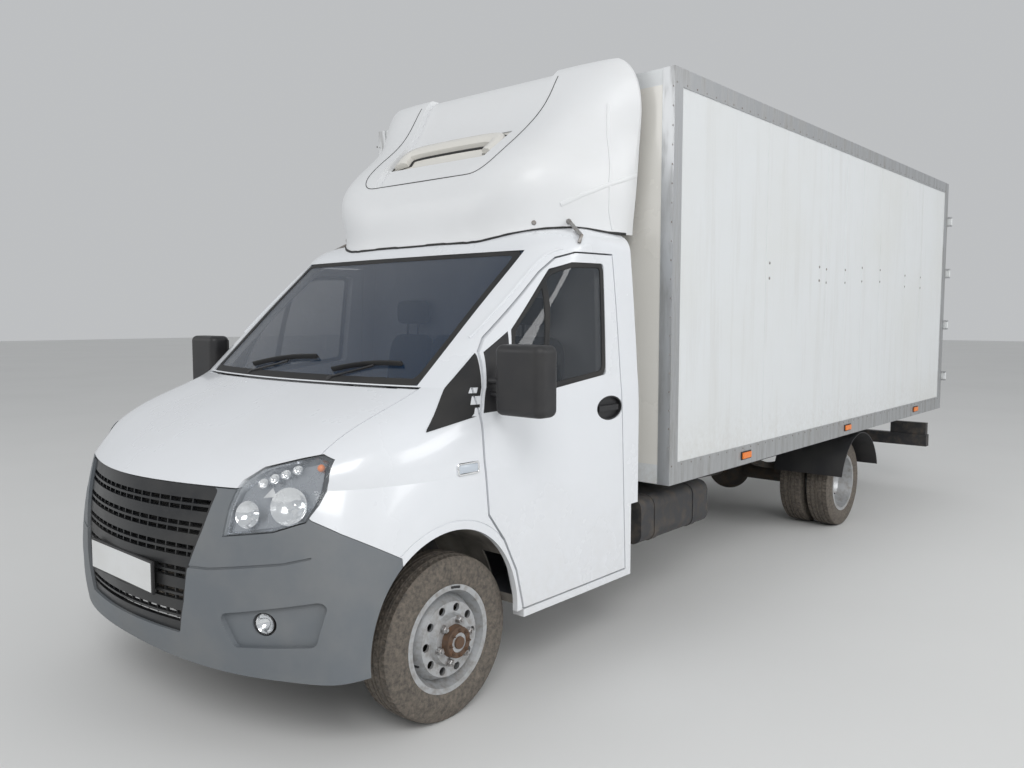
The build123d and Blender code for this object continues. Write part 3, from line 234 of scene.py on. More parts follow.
def panel_skin(name, color):
    """The box's clad sides: fine horizontal ripples, soft bulges and faint grime streaks."""
    shader = Shader(name, color, roughness=0.42)
    shader.bump(shader.noise(0.02, detail=3, stretch=(0.06, 0.06, 1.0)), strength=0.22, distance=0.0012)
    shader.bump(shader.noise(0.5, detail=2, stretch=(1.0, 1.4, 0.3)), strength=0.35, distance=0.02)
    streak = shader.patches(0.09, 0.5, 0.78, detail=8, roughness=0.7, stretch=(1, 1, 0.08))
    shader.tint(streak, (0.5, 0.48, 0.44), 0.32)
    mask = shader.patches(0.8, 0.4, 0.7, detail=5)
    shader.tint(mask, shaded(color, 0.94, 0.93, 0.9), 0.7)
    shader.rough(mask, 0.36, 0.5)
    film = shader.times(shader.height(*PANEL_DUST), shader.patches(0.03, 0.4, 0.75, detail=8, roughness=0.7))
    shader.tint(film, (0.42, 0.38, 0.32), 0.4)
    return shader.material


def tyre_rubber(name, color):
    """Worn tyre rubber under dry brown dust."""
    shader = Shader(name, color, roughness=0.85)
    shader.tint(shader.patches(0.02, 0.3, 0.68, detail=10, roughness=0.75), (0.25, 0.21, 0.17), 0.75)
    shader.bump(shader.noise(0.004, detail=4), strength=0.4, distance=0.0008)
    return shader.material


def glass(name, tint, through):
    """Thin window glass that is see-through and tinted."""
    shader = Shader(name, tint, roughness=0.02, coat=1.0)
    shader.bsdf.inputs["Alpha"].default_value = 1 - through
    shader.bsdf.inputs["IOR"].default_value = 1.5
    shader.bsdf.inputs["Coat Roughness"].default_value = 0.02
    shader.rough(shader.patches(0.35, 0.45, 0.75, detail=5), 0.02, 0.07)
    return shader.material


def fabric(name, color):
    """Woven seat cloth."""
    shader = Shader(name, color, roughness=0.9)
    shader.bsdf.inputs["Sheen Weight"].default_value = 0.3
    weave = shader.node("TexWave", {"Scale": 220}, wave_type="BANDS", bands_direction="DIAGONAL")
    shader.link(shader.place, weave, "Vector")
    shader.bump(weave, strength=0.4, distance=0.0006)
    shader.tint(shader.patches(0.12, 0.4, 0.7, detail=5), shaded(color, 1.6, 1.6, 1.7), 0.4)
    return shader.material


# Rows for each maker: a name and a colour, then the maker's own values in their order
LOOKS = {
    # dust, gloss
    paint: (("cab_paint", (0.78, 0.80, 0.83), 0.14), ("fairing_paint", (0.77, 0.78, 0.79), 0.0, 0.42),
            ("box_front", (0.76, 0.74, 0.69))),
    panel_skin: (("box_panel", (0.72, 0.74, 0.75)),),
    tyre_rubber: (("tyre_rubber", (0.045, 0.043, 0.04)),),
    fabric: (("seat_cloth", (0.05, 0.052, 0.06)),),
    # how much shows through
    glass: (("windscreen_glass", (0.012, 0.034, 0.075), 0.55), ("glass", (0.012, 0.018, 0.026), 0.5),
            ("lamp", (0.75, 0.8, 0.85), 0.85)),
    # roughness, dust
    plastic: (("liner_felt", (0.10, 0.09, 0.08), 0.9, 0.75),
              ("bumper_plastic", (0.145, 0.16, 0.175), 0.5, 0.15),
              ("black_plastic", (0.018, 0.018, 0.02), 0.45, 0.05),
              ("grille_black", (0.012, 0.013, 0.015), 0.3, 0.06),
              ("interior", (0.06, 0.063, 0.07), 0.7, 0.03), ("rubber", (0.012, 0.012, 0.013), 0.62, 0.06),
              ("amber", (0.85, 0.22, 0.03), 0.25, 0.02), ("side_lens", (0.55, 0.6, 0.66), 0.12, 0.05),
              ("tail_red", (0.42, 0.012, 0.012), 0.18, 0.12), ("tail_clear", (0.72, 0.72, 0.70), 0.15, 0.12),
              ("plate_white", (0.72, 0.73, 0.73), 0.35, 0.2)),
    # roughness, the grime's colour and amount, metallic, size of its patches, their stretch
    metal: (("frame_paint", (0.035, 0.035, 0.038), 0.55, (0.16, 0.13, 0.1), 0.5, 0.0),
            ("aluminium", (0.55, 0.56, 0.57), 0.38, (0.3, 0.29, 0.27), 0.6, 1.0, 0.06, (1, 1, 0.15)),
            ("wheel_steel", (0.5, 0.51, 0.52), 0.4, (0.2, 0.16, 0.12), 0.55, 0.6, 0.04),
            ("cast", (0.06, 0.055, 0.05), 0.75, (0.17, 0.12, 0.08), 0.6, 0.4),
            ("nut_steel", (0.42, 0.42, 0.42), 0.42, (0.17, 0.1, 0.06), 0.6, 0.8, 0.02),
            ("hub_rust", (0.13, 0.085, 0.06), 0.8, (0.2, 0.1, 0.05), 0.7, 0.3, 0.02),
            ("chrome", (0.86, 0.87, 0.88), 0.07, (0.5, 0.5, 0.48), 0.1),
            ("chrome_satin", (0.9, 0.9, 0.9), 0.3, (0.5, 0.5, 0.48), 0.1),
            ("lamp_housing", (0.42, 0.44, 0.47), 0.22, (0.12, 0.13, 0.15), 0.3, 0.9),
            ("steel", (0.35, 0.34, 0.33), 0.5, (0.2, 0.13, 0.08), 0.6)),
}
MATERIALS = {row[0]: maker(*row) for maker, rows in LOOKS.items() for row in rows}
MATERIALS["tyre"] = MATERIALS["tyre_rubber"]
# The looks of nodes and slots that aren't called by the name of a material
NODE_LOOKS = {
    "roof_fairing": "fairing_paint", "cooling_unit": "box_front", "box_front_wall": "box_front",
    "windscreen": "windscreen_glass", "grille": "grille_black", "radiator": "rubber",
    "arch_liners": "liner_felt",
}


def dress_nodes():
    """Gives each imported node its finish."""
    slots = {part["node"]: part["material_slot"] for part in frame["record"]["subparts"]}
    for name, node in frame["nodes"].items():
        node.data.materials.clear()
        node.data.materials.append(MATERIALS[NODE_LOOKS.get(name, slots[name])])


# Mesh helpers
SHARP_ANGLE = math.radians(35)
NO_RADIUS = 0.0001


def add_piece(name, builder, material, body="truck", bevel=0.0):
    """Makes a bmesh a piece that rides on a body."""
    builder.normal_update()
    mesh = bpy.data.meshes.new("mesh")
    builder.to_mesh(mesh)
    builder.free()
    piece = bpy.data.objects.new(name, mesh)
    bpy.context.scene.collection.objects.link(piece)
    mesh.materials.append(MATERIALS[material])
    if bevel:
        edge = piece.modifiers.new("edge", "BEVEL")
        edge.width = bevel
        edge.segments = 2
        edge.limit_method = "ANGLE"
        edge.angle_limit = SHARP_ANGLE
    for face in mesh.polygons:
        face.use_smooth = True
    mesh.set_sharp_from_angle(angle=SHARP_ANGLE)
    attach(piece, body)
    return piece


def builders(count):
    """Some empty bmeshes."""
    return (bmesh.new() for _ in range(count))


def box_into(builder, low, high):
    """Adds a box between two corners."""
    verts = [builder.verts.new([high[k] if corner >> k & 1 else low[k] for k in range(3)])
             for corner in range(8)]
    for face in ((0, 2, 3, 1), (4, 5, 7, 6), (0, 1, 5, 4), (2, 6, 7, 3), (0, 4, 6, 2), (1, 3, 7, 5)):
        builder.faces.new([verts[k] for k in face])


def joined(builder, a, b):
    """Joins two rows of corners by faces."""
    for k in range(len(a) - 1):
        builder.faces.new((a[k], b[k], b[k + 1], a[k + 1]))


def turned_into(builder, profile, centre, axis, steps):
    """Adds a lathe-turned shape: profile is (distance along the axis, radius)."""
    axis = axis.normalized()
    side = axis.orthogonal().normalized()
    other = axis.cross(side)
    rings = []
    for step in range(steps):
        angle = 2 * math.pi * step / steps
        out = side * math.cos(angle) + other * math.sin(angle)
        rings.append([builder.verts.new(centre + axis * along + out * radius) for along, radius in profile])
    for step in range(steps):
        joined(builder, rings[step], rings[(step + 1) % steps])


def tube_into(builder, points, radius, steps):
    """Adds a round tube along points."""
    rings = []
    for k, point in enumerate(points):
        along = (points[min(k + 1, len(points) - 1)] - points[max(k - 1, 0)]).normalized()
        side = along.cross(Vector((0, 0, 1)))
        if side.length < 0.01:
            side = along.cross(REARWARDS)
        side.normalize()
        other = along.cross(side)
        rings.append([builder.verts.new(point + (side * math.cos(2 * math.pi * s / steps)
                                                 + other * math.sin(2 * math.pi * s / steps)) * radius)
                      for s in range(steps)])
    for a, b in zip(rings, rings[1:]):
        for s in range(steps):
            t = (s + 1) % steps
            builder.faces.new((a[s], a[t], b[t], b[s]))
    builder.faces.new(rings[0][::-1])
    builder.faces.new(rings[-1])


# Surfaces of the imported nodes, for trim that lies on them
SIDE_START = 2.0
FRONT_START = -1.5
ROOF_START = -0.6


def surface(*names):
    """A search tree over the surfaces of some nodes."""
    builder = bmesh.new()
    for name in names:
        builder.from_mesh(frame["nodes"][name].data)
    tree = BVHTree.FromBMesh(builder)
    builder.free()
    return tree


def onto(tree, point, direction):
    """Where a line from a point first meets a surface, and the outward normal there."""
    direction = Vector(direction).normalized()
    place, normal, _, _ = tree.ray_cast(Vector(point), direction)
    if place is None:
        return None, None
    return place, (normal if normal.dot(direction) < 0 else -normal)


def from_front(tree, x, z, start=FRONT_START):
    """The same along a line rearwards from before the truck."""
    return onto(tree, (x, axle(start), z), REARWARDS)


def from_side(tree, side, y, z):
    """The same along a line inwards from beside the truck."""
    return onto(tree, (side * SIDE_START, axle(y), z), (-side, 0, 0))


def met(pairs, lift=0.0):
    """The places and the normals of the lines that met a surface."""
    pairs = [(place + normal * lift, normal) for place, normal in pairs if place is not None]
    return [place for place, _ in pairs], [normal for _, normal in pairs]


def yz(pairs):
    """Points seen from the side, from their y and z."""
    return [Vector((0, y, z)) for y, z in pairs]


def xz(pairs):
    """Points seen from the front, from their x and z."""
    return [Vector((x, 0, z)) for x, z in pairs]


def curved(points, per):
    """A smooth run through points."""
    run = []
    for k in range(len(points) - 1):
        a, b, c, d = (points[min(max(j, 0), len(points) - 1)] for j in (k - 1, k, k + 1, k + 2))
        for s in range(per):
            t = s / per
            run.append(0.5 * (2 * b + (c - a) * t + (2 * a - 5 * b + 4 * c - d) * t * t
                              + (3 * b - a - 3 * c + d) * t * t * t))
    return run + [points[-1]]


def rounded(points, radius, steps=5):
    """A closed outline with its corners rounded."""
    run = []
    for k, corner in enumerate(points):
        before = points[k - 1] - corner
        after = points[(k + 1) % len(points)] - corner
        reach = min(radius, before.length / 2.2, after.length / 2.2)
        start = corner + before.normalized() * reach
        end = corner + after.normalized() * reach
        for s in range(steps + 1):
            t = s / steps
            run.append(start.lerp(corner, t).lerp(corner.lerp(end, t), t))
    return run


def shrunk(points, amount):
    """A closed outline moved towards its middle by about amount."""
    middle = sum(points, Vector()) / len(points)
    return [middle + (p - middle) * (1 - amount / (p - middle).length) for p in points]


def densified(points, step, closed=False):
    """Points no further apart than step along straight runs."""
    run = []
    for k in range(len(points) if closed else len(points) - 1):
        a, b = points[k], points[(k + 1) % len(points)]
        parts = max(1, math.ceil((b - a).length / step))
        run += [a.lerp(b, s / parts) for s in range(parts)]
    return run if closed else run + [points[-1]]


def ribbon_into(builder, places, normals, width, height, closed=False, sink=0.001):
    """Adds a low rounded strip that follows places on a surface."""
    count = len(places)
    section = ((-0.5, -sink), (-0.42, height * 0.7), (-0.2, height),
               (0.2, height), (0.42, height * 0.7), (0.5, -sink))
    rings = []
    for k in range(count):
        before = places[(k - 1) % count] if closed or k else places[k]
        after = places[(k + 1) % count] if closed or k < count - 1 else places[k]
        across = (after - before).cross(normals[k]).normalized()
        rings.append([builder.verts.new(places[k] + across * (u * width) + normals[k] * v)
                      for u, v in section])
    for k in range(count if closed else count - 1):
        joined(builder, rings[k], rings[(k + 1) % count])
    if not closed:
        builder.faces.new(rings[0])
        builder.faces.new(rings[-1][::-1])


def trim_on_side(builder, tree, side, outline, width, height, closed=True, lift=0.0):
    """Adds a strip on a side surface along an outline of y and z."""
    run = densified(outline, 0.03, closed)
    ribbon_into(builder, *met([from_side(tree, side, p.y, p.z) for p in run], lift), width, height, closed)


# Tyres: half a profile from the rim outwards, as (across, radius), and the tread as (across, radius, block)
PLAIN, SHOULDER, RIB = range(3)
TYRE_SIDE = ((0.072, 0.204), (0.078, 0.214), (0.084, 0.222), (0.0855, 0.232), (0.090, 0.246), (0.0918, 0.266),
             (0.0908, 0.284), (0.0885, 0.288), (0.0875, 0.296), (0.0845, 0.311), (0.079, 0.3245))
TYRE_TREAD = ((0.074, 0.3315, PLAIN), (0.0735, 0.3325, SHOULDER), (0.052, 0.3355, SHOULDER),
              (0.0495, 0.3355, PLAIN), (0.047, 0.3285, PLAIN), (0.041, 0.3285, PLAIN),
              (0.0385, 0.3365, PLAIN), (0.024, 0.3372, RIB), (0.0165, 0.3372, PLAIN), (0.014, 0.3295, PLAIN), (0.0065, 0.3295, PLAIN),
              (0.004, 0.3376, PLAIN))
TREAD_BLOCKS = 72
BLOCK_STEPS = 4
GROOVE_DEPTH = 0.0065
RIB_SKEW = 0.022

# Wheels: places across the truck, then circles and sizes in the wheel's plane
WHEEL_OFFSET = 0.106
FRONT_X = 0.875
REAR_X = 0.780
DUAL_HALF = 0.106
NUTS, NUT_CIRCLE, NUT_TURN, NUT_SIZE, NUT_LENGTH = 6, 0.085, 12, 0.0145, 0.021
BOLTS, BOLT_CIRCLE, BOLT_SIZE, BOLT_LENGTH = 8, 0.050, 0.0062, 0.007
CAP_OUT = 0.034
HUB_CAP = ((0.0, 0.066), (0.006, 0.0655), (0.012, 0.0625), (CAP_OUT - 0.004, 0.0625), (CAP_OUT, 0.059),
           (CAP_OUT, 0.040), (CAP_OUT - 0.010, 0.038), (CAP_OUT - 0.010, 0.026), (CAP_OUT + 0.004, 0.024),
           (CAP_OUT + 0.006, 0.018), (CAP_OUT + 0.006, NO_RADIUS))
VALVE_CIRCLE, VALVE_TURN, VALVE_RADIUS = 0.186, math.radians(200), 0.0045
WEIGHTS, WEIGHT_CIRCLE, WEIGHT_TURN, WEIGHT_STEP = 5, 0.2085, math.radians(75), 0.045
WEIGHT_HALF = Vector((0.003, 0.0045, 0.0045))


def at_angle(x, y, z, radius, angle):
    """A point at an angle on a circle in a wheel's plane."""
    return Vector((x, y + radius * math.cos(angle), z + radius * math.sin(angle)))


def tyre_into(builder, centre_x, axle_y):
    """Adds one tyre: rounded sidewalls with a rim rib, and a tread of ribs and shoulder blocks."""
    half = [(x, r, PLAIN) for x, r in TYRE_SIDE] + list(TYRE_TREAD)
    profile = [(-x, r, kind) for x, r, kind in half] + half[::-1]
    steps = TREAD_BLOCKS * BLOCK_STEPS
    rings = []
    for step in range(steps):
        phase = step % BLOCK_STEPS
        ring = []
        for x, radius, kind in profile:
            skew = RIB_SKEW if kind == RIB else 0.0
            angle = 2 * math.pi * (step / steps) + skew * math.copysign(1, x)
            if (kind == SHOULDER and phase in (2, 3)) or (kind == RIB and phase == 3):
                radius -= GROOVE_DEPTH
            ring.append(builder.verts.new((centre_x + x, axle_y + radius * math.sin(angle),
                                           AXLE_Z + radius * math.cos(angle))))
        rings.append(ring)
    for step in range(steps):
        a, b = rings[step], rings[(step + 1) % steps]
        for k in range(len(profile) - 1):
            builder.faces.new((a[k], a[k + 1], b[k + 1], b[k]))


def nut_into(builder, centre, out, size, length):
    """Adds a hexagonal nut with a washer, a chamfered end and its stud."""
    out = Vector((out, 0, 0))
    turned_into(builder, ((0.0, size * 1.25), (0.003, size * 1.25), (0.003, size)), centre, out, 16)
    turned_into(builder, ((0.003, size), (length - 0.003, size), (length, size * 0.8), (length, NO_RADIUS)),
                centre, out, 6)
    turned_into(builder, ((length, size * 0.48), (length + 0.006, size * 0.46), (length + 0.007, NO_RADIUS)),
                centre, out, 10)


def make_wheel(end, side, tag, axle_y, tyre_xs, face_x):
    """A wheel's tyres, nuts, hub cap, valve and balance weights."""
    body, tyre, rim = f"wheel_{end[0]}{tag[0]}", f"tyre_{end}_{tag}", f"wheel_{end}_{tag}"
    rubber, nuts, hub, extras = builders(4)
    for x in tyre_xs:
        tyre_into(rubber, side * x, axle_y)
    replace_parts(add_piece(f"{tyre}_tread", rubber, "tyre", body), tyre)
    for k in range(NUTS):
        angle = math.radians(360 / NUTS * k + NUT_TURN)
        nut_into(nuts, at_angle(side * face_x, axle_y, AXLE_Z, NUT_CIRCLE, angle), side, NUT_SIZE, NUT_LENGTH)
    add_piece(f"{rim}_nuts", nuts, "nut_steel", body)
    centre = Vector((side * face_x, axle_y, AXLE_Z))
    turned_into(hub, HUB_CAP, centre, Vector((side, 0, 0)), 48)
    for k in range(BOLTS):
        bolt = centre + at_angle(side * CAP_OUT, 0, 0, BOLT_CIRCLE, math.radians(360 / BOLTS * k))
        nut_into(hub, bolt, side, BOLT_SIZE, BOLT_LENGTH)
    add_piece(f"{rim}_hub_cap", hub, "hub_rust", body)
    base = at_angle(side * (tyre_xs[0] + 0.05), axle_y, AXLE_Z, VALVE_CIRCLE, VALVE_TURN)
    tip = base + at_angle(side * 0.035, 0, 0, -0.006, VALVE_TURN)
    tube_into(extras, (base, base.lerp(tip, 0.5), tip), VALVE_RADIUS, 10)
    for k in range(WEIGHTS):
        angle = WEIGHT_TURN + k * WEIGHT_STEP
        spot = at_angle(side * (tyre_xs[0] + 0.083), axle_y, AXLE_Z, WEIGHT_CIRCLE, angle)
        box_into(extras, spot - WEIGHT_HALF, spot + WEIGHT_HALF)
    add_piece(f"{rim}_valve", extras, "black_plastic", body)


def make_wheels(side, tag):
    """The wheels of one side, the rear one with two tyres."""
    make_wheel("front", side, tag, FRONT_AXLE_Y, (FRONT_X,), FRONT_X + WHEEL_OFFSET)
    make_wheel("rear", side, tag, REAR_AXLE_Y, (REAR_X + DUAL_HALF, REAR_X - DUAL_HALF),
               REAR_X + DUAL_HALF - WHEEL_OFFSET)


# Glass: rubbers round the side windows and the dark band round the screen
CAB_SIDE = {side: surface(f"cab_side_{tag}", f"door_{tag}", "fenders", f"door_glass_{tag}")
            for side, tag in SIDES}
WINDOW = yz(((0.980, 1.357), (0.566, 1.312), (0.250, 1.290), (0.355, 1.574), (0.640, 1.842), (0.770, 1.876),
             (1.012, 1.880)))
WINDOW_BAR = yz(((0.506, 1.318), (0.604, 1.826)))
SCREEN = xz(((-0.79, 1.352), (0.79, 1.352), (0.812, 1.925), (-0.812, 1.925)))


def make_window_trim(side, tag):
    """The rubber round a side window and its division bar."""
    rubber = bmesh.new()
    glass_side = surface(f"door_glass_{tag}")
    outline = shrunk(rounded(WINDOW, 0.045), 0.012)
    trim_on_side(rubber, glass_side, side, outline, 0.030, 0.0065, lift=-0.001)
    trim_on_side(rubber, glass_side, side, WINDOW_BAR, 0.034, 0.006, closed=False)
    add_piece(f"window_rubber_{tag}", rubber, "rubber", f"door_{tag[0]}")


def make_windscreen_trim():
    """The black band painted round the windscreen's edge."""
    band = bmesh.new()
    screen = surface("windscreen")
    run = densified(shrunk(rounded(SCREEN, 0.05), 0.012), 0.04, True)
    ribbon_into(band, *met([from_front(screen, p.x, p.z) for p in run], 0.0005), 0.046, 0.003, True)
    add_piece("windscreen_band", band, "rubber")


# Headlamps: the outline of the lens, then places as (x, z) with a depth under it
LAMP_OUTLINE = xz(((0.585, 0.846), (0.590, 0.940), (0.612, 1.037), (0.655, 1.082), (0.765, 1.116),
                   (0.820, 1.130), (0.862, 1.114), (0.873, 1.045), (0.868, 0.965), (0.850, 0.908),
                   (0.760, 0.872)))
LAMP_EDGE = 0.016
LAMP_SHELL = ((0.004, 0.004), (0.010, 0.012), (0.016, 0.034))
BOWLS = ((0.785, 0.960, 0.064, 0.030), (0.655, 0.925, 0.046, 0.026))
SMALL_BOWLS = tuple((0.680 + k * 0.030, 1.036 + k * 0.016) for k in range(4))
AMBER_BULB = (0.836, 1.094, 0.016)
REFLEX = ((0.700, 0.985), (0.742, 0.990), (0.722, 1.022))


def bowl_into(builder, centre, out, radius, depth, steps=36):
    """Adds a reflector bowl that opens towards out."""
    profile = [(-depth * (1 - (k / 6) ** 2), max(NO_RADIUS, radius * k / 6)) for k in range(7)]
    turned_into(builder, profile + [(0.002, radius + 0.003)], centre, out, steps)


def make_headlamps(side, tag):
    """The inside of a headlamp, placed under the lens surface."""
    lens = surface("headlamps")
    middle = sum(LAMP_OUTLINE, Vector()) / len(LAMP_OUTLINE)

    def under(x, z, depth):
        place, normal = from_front(lens, side * x, z)
        if place is None:
            place, normal = Vector((side * x, axle(-0.6), z)), -REARWARDS
        return place - normal * depth, normal

    housing, bright, reflex, amber = builders(4)
    rings = []
    for point in densified(shrunk(LAMP_OUTLINE, LAMP_EDGE), 0.02, True):
        place, normal = from_front(lens, side * point.x, point.z)
        if place is not None:
            out = (point - middle).normalized()
            out.x *= side
            rings.append([housing.verts.new(place + out * (LAMP_EDGE - inset) - normal * depth)
                          for inset, depth in LAMP_SHELL])
    for k, ring in enumerate(rings):
        joined(housing, ring, rings[(k + 1) % len(rings)])
    housing.faces.new([ring[-1] for ring in rings])
    for x, z, radius, depth in BOWLS:
        place, normal = under(x, z, 0.012)
        bowl_into(bright, place, normal, radius, depth)
        bulb = ((-depth, radius * 0.22), (-depth * 0.3, radius * 0.2), (-depth * 0.25, NO_RADIUS))
        turned_into(bright, bulb, place, normal, 20)
    for x, z in SMALL_BOWLS:
        place, normal = under(x, z, 0.010)
        bowl_into(bright, place, normal, 0.016, 0.012, 16)
    corner, normal = under(*AMBER_BULB)
    bmesh.ops.create_uvsphere(amber, u_segments=16, v_segments=10, radius=0.014,
                              matrix=Matrix.Translation(corner))
    triangle = [under(x, z, 0.008)[0] for x, z in REFLEX]
    low = [reflex.verts.new(p) for p in triangle]
    high = [reflex.verts.new(p + normal * 0.002) for p in triangle]
    reflex.faces.new(high)
    for k in range(3):
        reflex.faces.new((low[k], low[(k + 1) % 3], high[(k + 1) % 3], high[k]))
    add_piece(f"lamp_housing_{tag}", housing, "lamp_housing")
    add_piece(f"lamp_reflectors_{tag}", bright, "chrome")
    add_piece(f"lamp_reflex_{tag}", reflex, "chrome_satin")
    add_piece(f"lamp_bulb_{tag}", amber, "amber")


# Cab sides: repeaters, gutters and the black patch ahead of the doors
REPEATER = yz(((-0.026, 1.017), (0.082, 1.017), (0.082, 1.058), (-0.026, 1.058)))
REPEATER_ROWS, REPEATER_COLUMNS = 4, 8
GUTTER = yz(((0.215, 1.540), (0.400, 1.694), (0.590, 1.853), (0.690, 1.921), (0.810, 1.950), (1.080, 1.956)))
PATCH = yz(((-0.152, 1.189), (0.102, 1.238), (0.191, 1.484)))
PATCH_LIFT = 0.0022
PATCH_ROWS, PATCH_COLUMNS = 26, 8
MIRROR_BACK = 0.2425
MIRROR_GLASS_Z = (1.264, 1.496)
MIRROR_GLASS_X = (0.235, 0.018)


def make_side_trim(side, tag):
    """The small clear lamp on a wing and the gutter over a door."""
    tree = CAB_SIDE[side]
    rim, lens, gutter = builders(3)
    trim_on_side(rim, tree, side, rounded(REPEATER, 0.008, 3), 0.011, 0.008)
    add_piece(f"side_lamp_frame_{tag}", rim, "chrome")
    grid = []
    for i in range(REPEATER_COLUMNS + 1):
        row = []
        for j in range(REPEATER_ROWS + 1):
            place, normal = from_side(tree, side, -0.022 + 0.1 * i / REPEATER_COLUMNS,
                                      1.020 + 0.035 * j / REPEATER_ROWS)
            swell = 0.006 * (1 - (i / 4 - 1) ** 2 * 0.5) * (1 - (j / 2 - 1) ** 4 * 0.6)
            row.append(lens.verts.new(place + normal * swell))
        grid.append(row)
    for a, b in zip(grid, grid[1:]):
        joined(lens, a, b)
    add_piece(f"side_lamp_{tag}", lens, "side_lens")
    trim_on_side(gutter, tree, side, curved(GUTTER, 6), 0.014, 0.007, closed=False)
    add_piece(f"door_gutter_{tag}", gutter, "cab_paint")


def tile_into(builder, corners, thickness):
    """A flat plate between four corners given in turn, thickened along its normal."""
    corners = [Vector(c) for c in corners]
    normal = (corners[1] - corners[0]).cross(corners[2] - corners[1]).normalized()
    low = [builder.verts.new(c) for c in corners]
    high = [builder.verts.new(c + normal * thickness) for c in corners]
    builder.faces.new(high)
    builder.faces.new(low[::-1])
    for k in range(4):
        t = (k + 1) % 4
        builder.faces.new((low[k], low[t], high[t], high[k]))


def patch_on_side(builder, tree, side, outline):
    """A thin sheet that lies on a side surface within an outline of y and z."""
    low, high = min(p.z for p in outline) + 0.0004, max(p.z for p in outline) - 0.0004
    grid = []
    for r in range(PATCH_ROWS + 1):
        z = low + (high - low) * r / PATCH_ROWS
        cuts = []
        for k, a in enumerate(outline):
            b = outline[(k + 1) % len(outline)]
            if (a.z - z) * (b.z - z) < 0:
                cuts.append(a.y + (b.y - a.y) * (z - a.z) / (b.z - a.z))
        if len(cuts) > 1:
            start, span = min(cuts), max(cuts) - min(cuts)
            row = [from_side(tree, side, start + span * c / PATCH_COLUMNS, z)
                   for c in range(PATCH_COLUMNS + 1)]
            grid.append([place and place + normal * PATCH_LIFT for place, normal in row])
    made = {}
    for r in range(len(grid) - 1):
        for c in range(PATCH_COLUMNS):
            if None not in (grid[r][c], grid[r + 1][c], grid[r + 1][c + 1], grid[r][c + 1]):
                corners = ((r, c), (r, c + 1), (r + 1, c + 1), (r + 1, c))
                for i, j in corners:
                    if (i, j) not in made:
                        made[i, j] = builder.verts.new(grid[i][j])
                builder.faces.new([made[corner] for corner in corners])


def make_pillar_patch(side, tag):
    """The black triangle between the screen's foot and a door, and the mirror's glass."""
    sheet, mirror = builders(2)
    patch_on_side(sheet, CAB_SIDE[side], side, rounded(PATCH, 0.012, 3))
    add_piece(f"pillar_patch_{tag}", sheet, "rubber")
    low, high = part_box(f"door_fittings_{tag}")
    x0, x1 = sorted((high[0] if side > 0 else low[0]) - side * x for x in MIRROR_GLASS_X)
    back = axle(MIRROR_BACK)
    z0, z1 = MIRROR_GLASS_Z
    tile_into(mirror, ((x1, back, z0), (x0, back, z0), (x0, back, z1), (x1, back, z1)), 0.003)
    add_piece(f"mirror_glass_{tag}", mirror, "chrome", f"door_{tag[0]}")


# Wipers: the strip at the screen's foot, then each arm's pivot, far end of its blade, and height there
COWL_STEPS, COWL_HALF, COWL_Z = 32, 0.78, 1.366
WIPERS = (("driver", 0.30, 0.66, 1.415), ("far", -0.34, 0.12, 1.43))
ARM_STEPS, BLADE_STEPS = 8, 16


def make_wipers():
    """Two wiper arms with blades on the windscreen, and the black strip that they rise from."""
    tree = surface("windscreen", "cab_side_left", "cab_side_right")
    cowl = bmesh.new()
    hits = [from_front(tree, -COWL_HALF + 2 * COWL_HALF * k / COWL_STEPS, COWL_Z)
            for k in range(COWL_STEPS + 1)]
    ribbon_into(cowl, *met(hits), 0.030, 0.0025)
    add_piece("cowl_strip", cowl, "rubber")
    for tag, pivot_x, reach_x, reach_z in WIPERS:
        arm, blade = builders(2)
        pivot, out = from_front(tree, pivot_x, 1.360)
        turned_into(arm, ((-0.01, 0.015), (0.007, 0.014), (0.009, 0.010), (0.009, NO_RADIUS)), pivot, out, 20)
        run, hits = [], []
        for k in range(ARM_STEPS + 1):
            t = k / ARM_STEPS
            place, normal = from_front(tree, pivot_x + (reach_x - pivot_x) * t * 0.55, 1.362 + 0.055 * t)
            run.append(place + normal * (0.0056 + 0.008 * max(0.0, t - 0.75)))
        tube_into(arm, run, 0.005, 8)
        add_piece(f"wiper_arm_{tag}", arm, "black_plastic")
        for k in range(BLADE_STEPS + 1):
            t = k / BLADE_STEPS
            hits.append(from_front(tree, pivot_x - 0.02 + (reach_x - pivot_x) * t,
                                   1.392 + (reach_z - 1.38) * t + 0.012 * math.sin(math.pi * t)))
        ribbon_into(blade, *met(hits, 0.001), 0.014, 0.020)
        add_piece(f"wiper_blade_{tag}", blade, "rubber")


# Seats: soft cushions over plain frames, with y from the front axle
SEAT_ROWS_INNER = ((0.185, None), (None, -0.315), (-0.300, -0.065))
SEAT_BASE_Y, SEAT_BASE_Z = (0.605, 1.02), (0.885, 1.005)
SEAT_BACK_Y, SEAT_BACK_Z, BACK_LEAN = (1.000, 1.085), (0.975, 1.525), 0.142
HEAD_REST_Y, HEAD_REST_Z, HEAD_REST_HALF = (1.088, 1.162), (1.585, 1.728), 0.122
NARROWEST_WITH_REST = 0.3
CUSHION_SWELL = 0.06
CUSHION_POWER = 5


